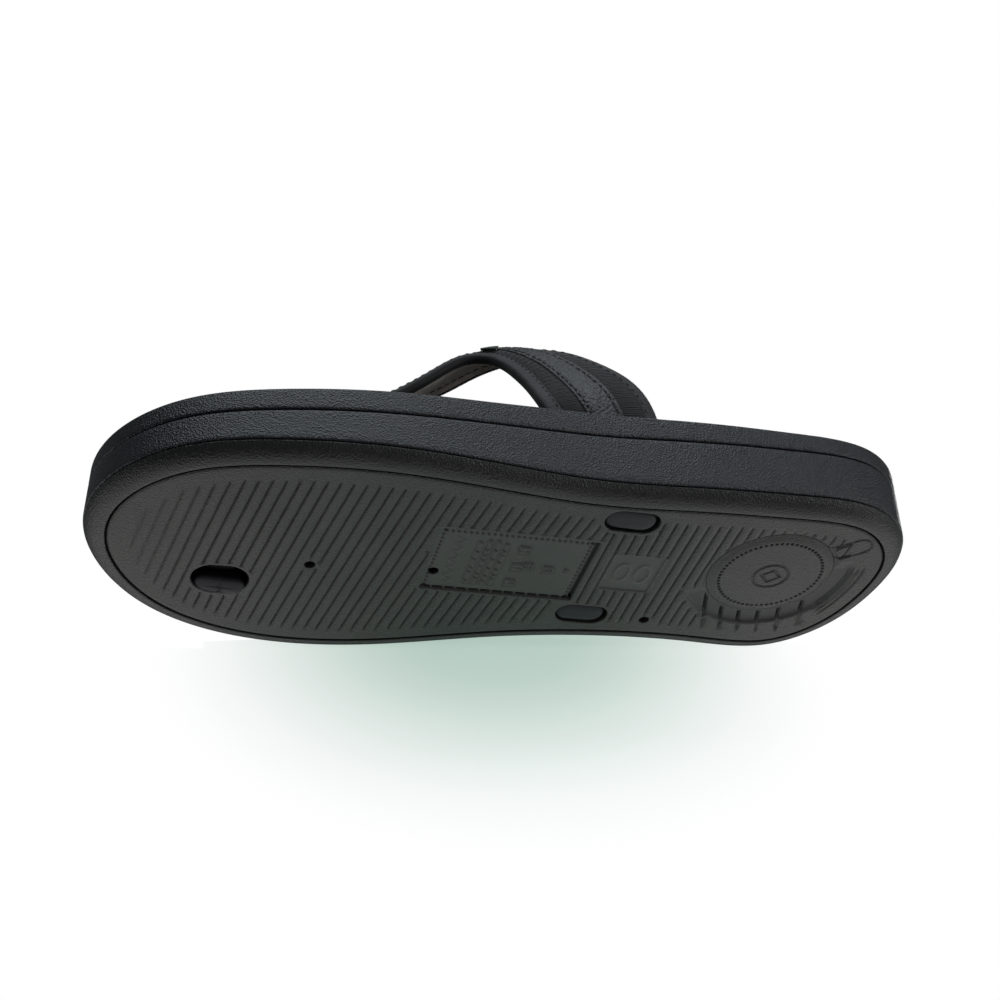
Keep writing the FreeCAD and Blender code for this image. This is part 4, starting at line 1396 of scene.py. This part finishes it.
# The camera stands as in the photograph: below the sole, which faces it.
CAMERA_PLACE = Vector((0.3826, -0.1394, -0.2834))
FORWARD = Vector((-0.741, 0.268, 0.616)).normalized()
DOWN = Vector((-0.615, 0.098, -0.783))
DOWN = (DOWN - FORWARD * DOWN.dot(FORWARD)).normalized()
RIGHT = DOWN.cross(FORWARD)
FLOOR_PITCH = math.radians(25)
FLOOR_UP = -DOWN * math.cos(FLOOR_PITCH) - FORWARD * math.sin(FLOOR_PITCH)


def add_camera():
    data = bpy.data.cameras.new("camera")
    data.sensor_width = 36.0
    data.lens = 50.4
    data.clip_start = 0.01
    data.clip_end = 20.0
    camera = new_object("camera", data)
    turn = Matrix((RIGHT, -DOWN, -FORWARD)).transposed()
    camera.matrix_world = Matrix.Translation(CAMERA_PLACE) @ turn.to_4x4()
    scene.camera = camera


def soft_light(name, place, size, power, color=(1, 1, 1)):
    """Rectangular light that faces the middle of the sandal."""
    data = bpy.data.lights.new(name, "AREA")
    data.shape = "RECTANGLE"
    data.size, data.size_y = size
    data.energy = power
    data.color = color
    light = new_object(name, data)
    light.location = place
    light.rotation_euler = (Vector((0, 0, 0.02)) - Vector(place)).to_track_quat("-Z", "Y").to_euler()
    light.visible_camera = False


# Floor materials: matt colour, glow, stretch of the fade, where it starts and ends in metres.
GROUND_LOOK = (0.66, 0.67, 0.66, 1), (0.4, 0.42, 0.41, 1), (0.6, 1.0, 1.0), (0.14, 0.40)
LYING_LOOK = (0.74, 0.70, 0.72, 1), (0.40, 0.53, 0.47, 1), (1.1, 1.1, 1.0), (0.02, 0.15)


def floor_material(name, look, ground):
    """Pale floor, seen from its upper side only: matt colour with a painted glow that lightens its
    shadows, turning to plain white glow away from the sandal. The ground lets all but camera rays
    through.
    """
    color, glow, stretch, (near, far) = look
    material = bpy.data.materials.new(name)
    material.use_nodes = True
    tree = material.node_tree
    tree.nodes.clear()

    def add(kind, sockets=None, output=0, **settings):
        return add_node(tree, kind, sockets, **settings).outputs[output]

    matt_and_glow = add("AddShader", {0: add("BsdfDiffuse", {"Color": color}),
                             1: add("Emission", {"Color": glow})})
    place = add("VectorMath", {0: add("TexCoord", output="Object"), 1: stretch},
                operation="MULTIPLY")
    distance = add("VectorMath", {0: place}, "Value", operation="LENGTH")
    share = add("MapRange", {"Value": distance, "From Min": near, "From Max": far}, "Result",
                interpolation_type="SMOOTHSTEP")
    surface = add("MixShader", {"Fac": share, 1: matt_and_glow, 2: add("Emission", {"Color": (1, 1, 1, 1)})})
    hide = add("NewGeometry", output="Backfacing")
    if ground:
        seen = add("LightPath", output="Is Camera Ray")
        unseen = add("Math", {0: 1.0, 1: seen}, operation="SUBTRACT")
        hide = add("Math", {0: hide, 1: unseen}, operation="MAXIMUM")
    mix = add("MixShader", {"Fac": hide, 1: surface, 2: add("BsdfTransparent")})
    add_node(tree, "OutputMaterial", {"Surface": mix})
    return material


def flat_stage(name, corners, material, matrix=Matrix()):
    mesh = bpy.data.meshes.new(name)
    mesh.from_pydata([tuple(corner) for corner in corners], [], [tuple(range(len(corners)))])
    mesh.materials.append(material)
    obj = new_object(name, mesh)
    obj.matrix_world = matrix
    return obj


def lying_plane():
    """Ends of the contact line and the up direction of the floor the sandal lies on."""
    edge = np.concatenate([outline.ring(*rolled_rim(t)) for t in np.linspace(0.3, 1.2, 12)]
                          + [outline.ring(0.0, outline.seam)]) * MM
    toe_half, heel_half = edge[edge[:, 1] < -0.02], edge[edge[:, 1] > 0.02]
    up = np.array(FLOOR_UP)
    for _ in range(8):
        a, b = (half[np.argmin(half @ up)] for half in (toe_half, heel_half))
        along = unit(b - a)
        up = unit(np.array(FLOOR_UP) - (np.array(FLOOR_UP) @ along) * along)
    return a, b, along, up


def add_floors():
    """One floor under the sole, and the one on which the sandal lies on its inner edge."""
    reach, ground_z = 2.5, -0.0004
    before = 0.22                 # the lying floor ends here in front of the sole
    corners = (-reach, -reach), (reach, -reach), (reach, reach), (-reach, reach)
    flat_stage("ground", [(*corner, ground_z) for corner in corners],
               floor_material("ground_matt", GROUND_LOOK, True))
    a, b, along, up = lying_plane()
    down = np.cross(up, along)
    down = down if down[2] < 0 else -down
    turn = Matrix((along, np.cross(up, along), up)).transposed().to_4x4()
    matrix = Matrix.Translation((a + b) / 2 - along * 0.02) @ turn

    def at_ground(point):
        return point + down * (ground_z - point[2]) / down[2]

    def lay(name, corners):
        local = [matrix.inverted() @ Vector(corner) for corner in corners]
        spin = sum(p.x * q.y - q.x * p.y for p, q in zip(local, local[1:] + local[:1]))
        return flat_stage(name, local if spin > 0 else local[::-1], material, matrix)

    material = floor_material("lying_floor_matt", LYING_LOOK, False)
    ends = at_ground(a - along * reach), at_ground(b + along * reach)
    lay("lying_floor", [ends[0], ends[1], ends[1] + down * before, ends[0] + down * before])
    # Above the ground it is only as long as the sole's edge, and lights nothing.
    past_toe, past_heel, raised = 0.05, 0.03, down * 0.008
    near, far = a - along * past_toe, b + along * past_heel
    strip = lay("contact_strip", [near, a * 0.8 + b * 0.2 - raised, a * 0.2 + b * 0.8 - raised, far,
                                  at_ground(far), at_ground(near)])
    strip.visible_diffuse = strip.visible_glossy = strip.visible_shadow = False


def add_world():
    world = bpy.data.worlds.new("studio")
    scene.world = world
    world.use_nodes = True
    tree = world.node_tree
    tree.nodes.clear()
    room = add_node(tree, "Background", {"Color": (0.93, 0.97, 1.0, 1), "Strength": 0.10})
    white = add_node(tree, "Background", {"Color": (1, 1, 1, 1), "Strength": 1.0})
    seen = add_node(tree, "LightPath").outputs["Is Camera Ray"]
    mix = add_node(tree, "MixShader", {"Fac": seen, 1: room.outputs[0], 2: white.outputs[0]})
    add_node(tree, "OutputWorld", {"Surface": mix.outputs[0]})


def add_lights():
    up = -DOWN
    soft_light("overhead_softbox", up * 0.75 + FORWARD * 0.1, (0.9, 0.6), 3.3, (0.88, 0.96, 1.0))
    soft_light("front_fill", up * 0.25 - FORWARD * 0.95 + RIGHT * 0.5, (0.7, 0.5), 0.5,
               (1.0, 0.98, 0.95))
    soft_light("side_light", up * 0.35 + RIGHT * 0.9 - FORWARD * 0.2, (0.4, 0.5), 2.2)
    soft_light("rear_softbox", (-0.6, 0.5, 0.7), (0.6, 0.6), 7.0)


scene.view_settings.view_transform = "Standard"
add_camera()
add_floors()
add_world()
add_lights()
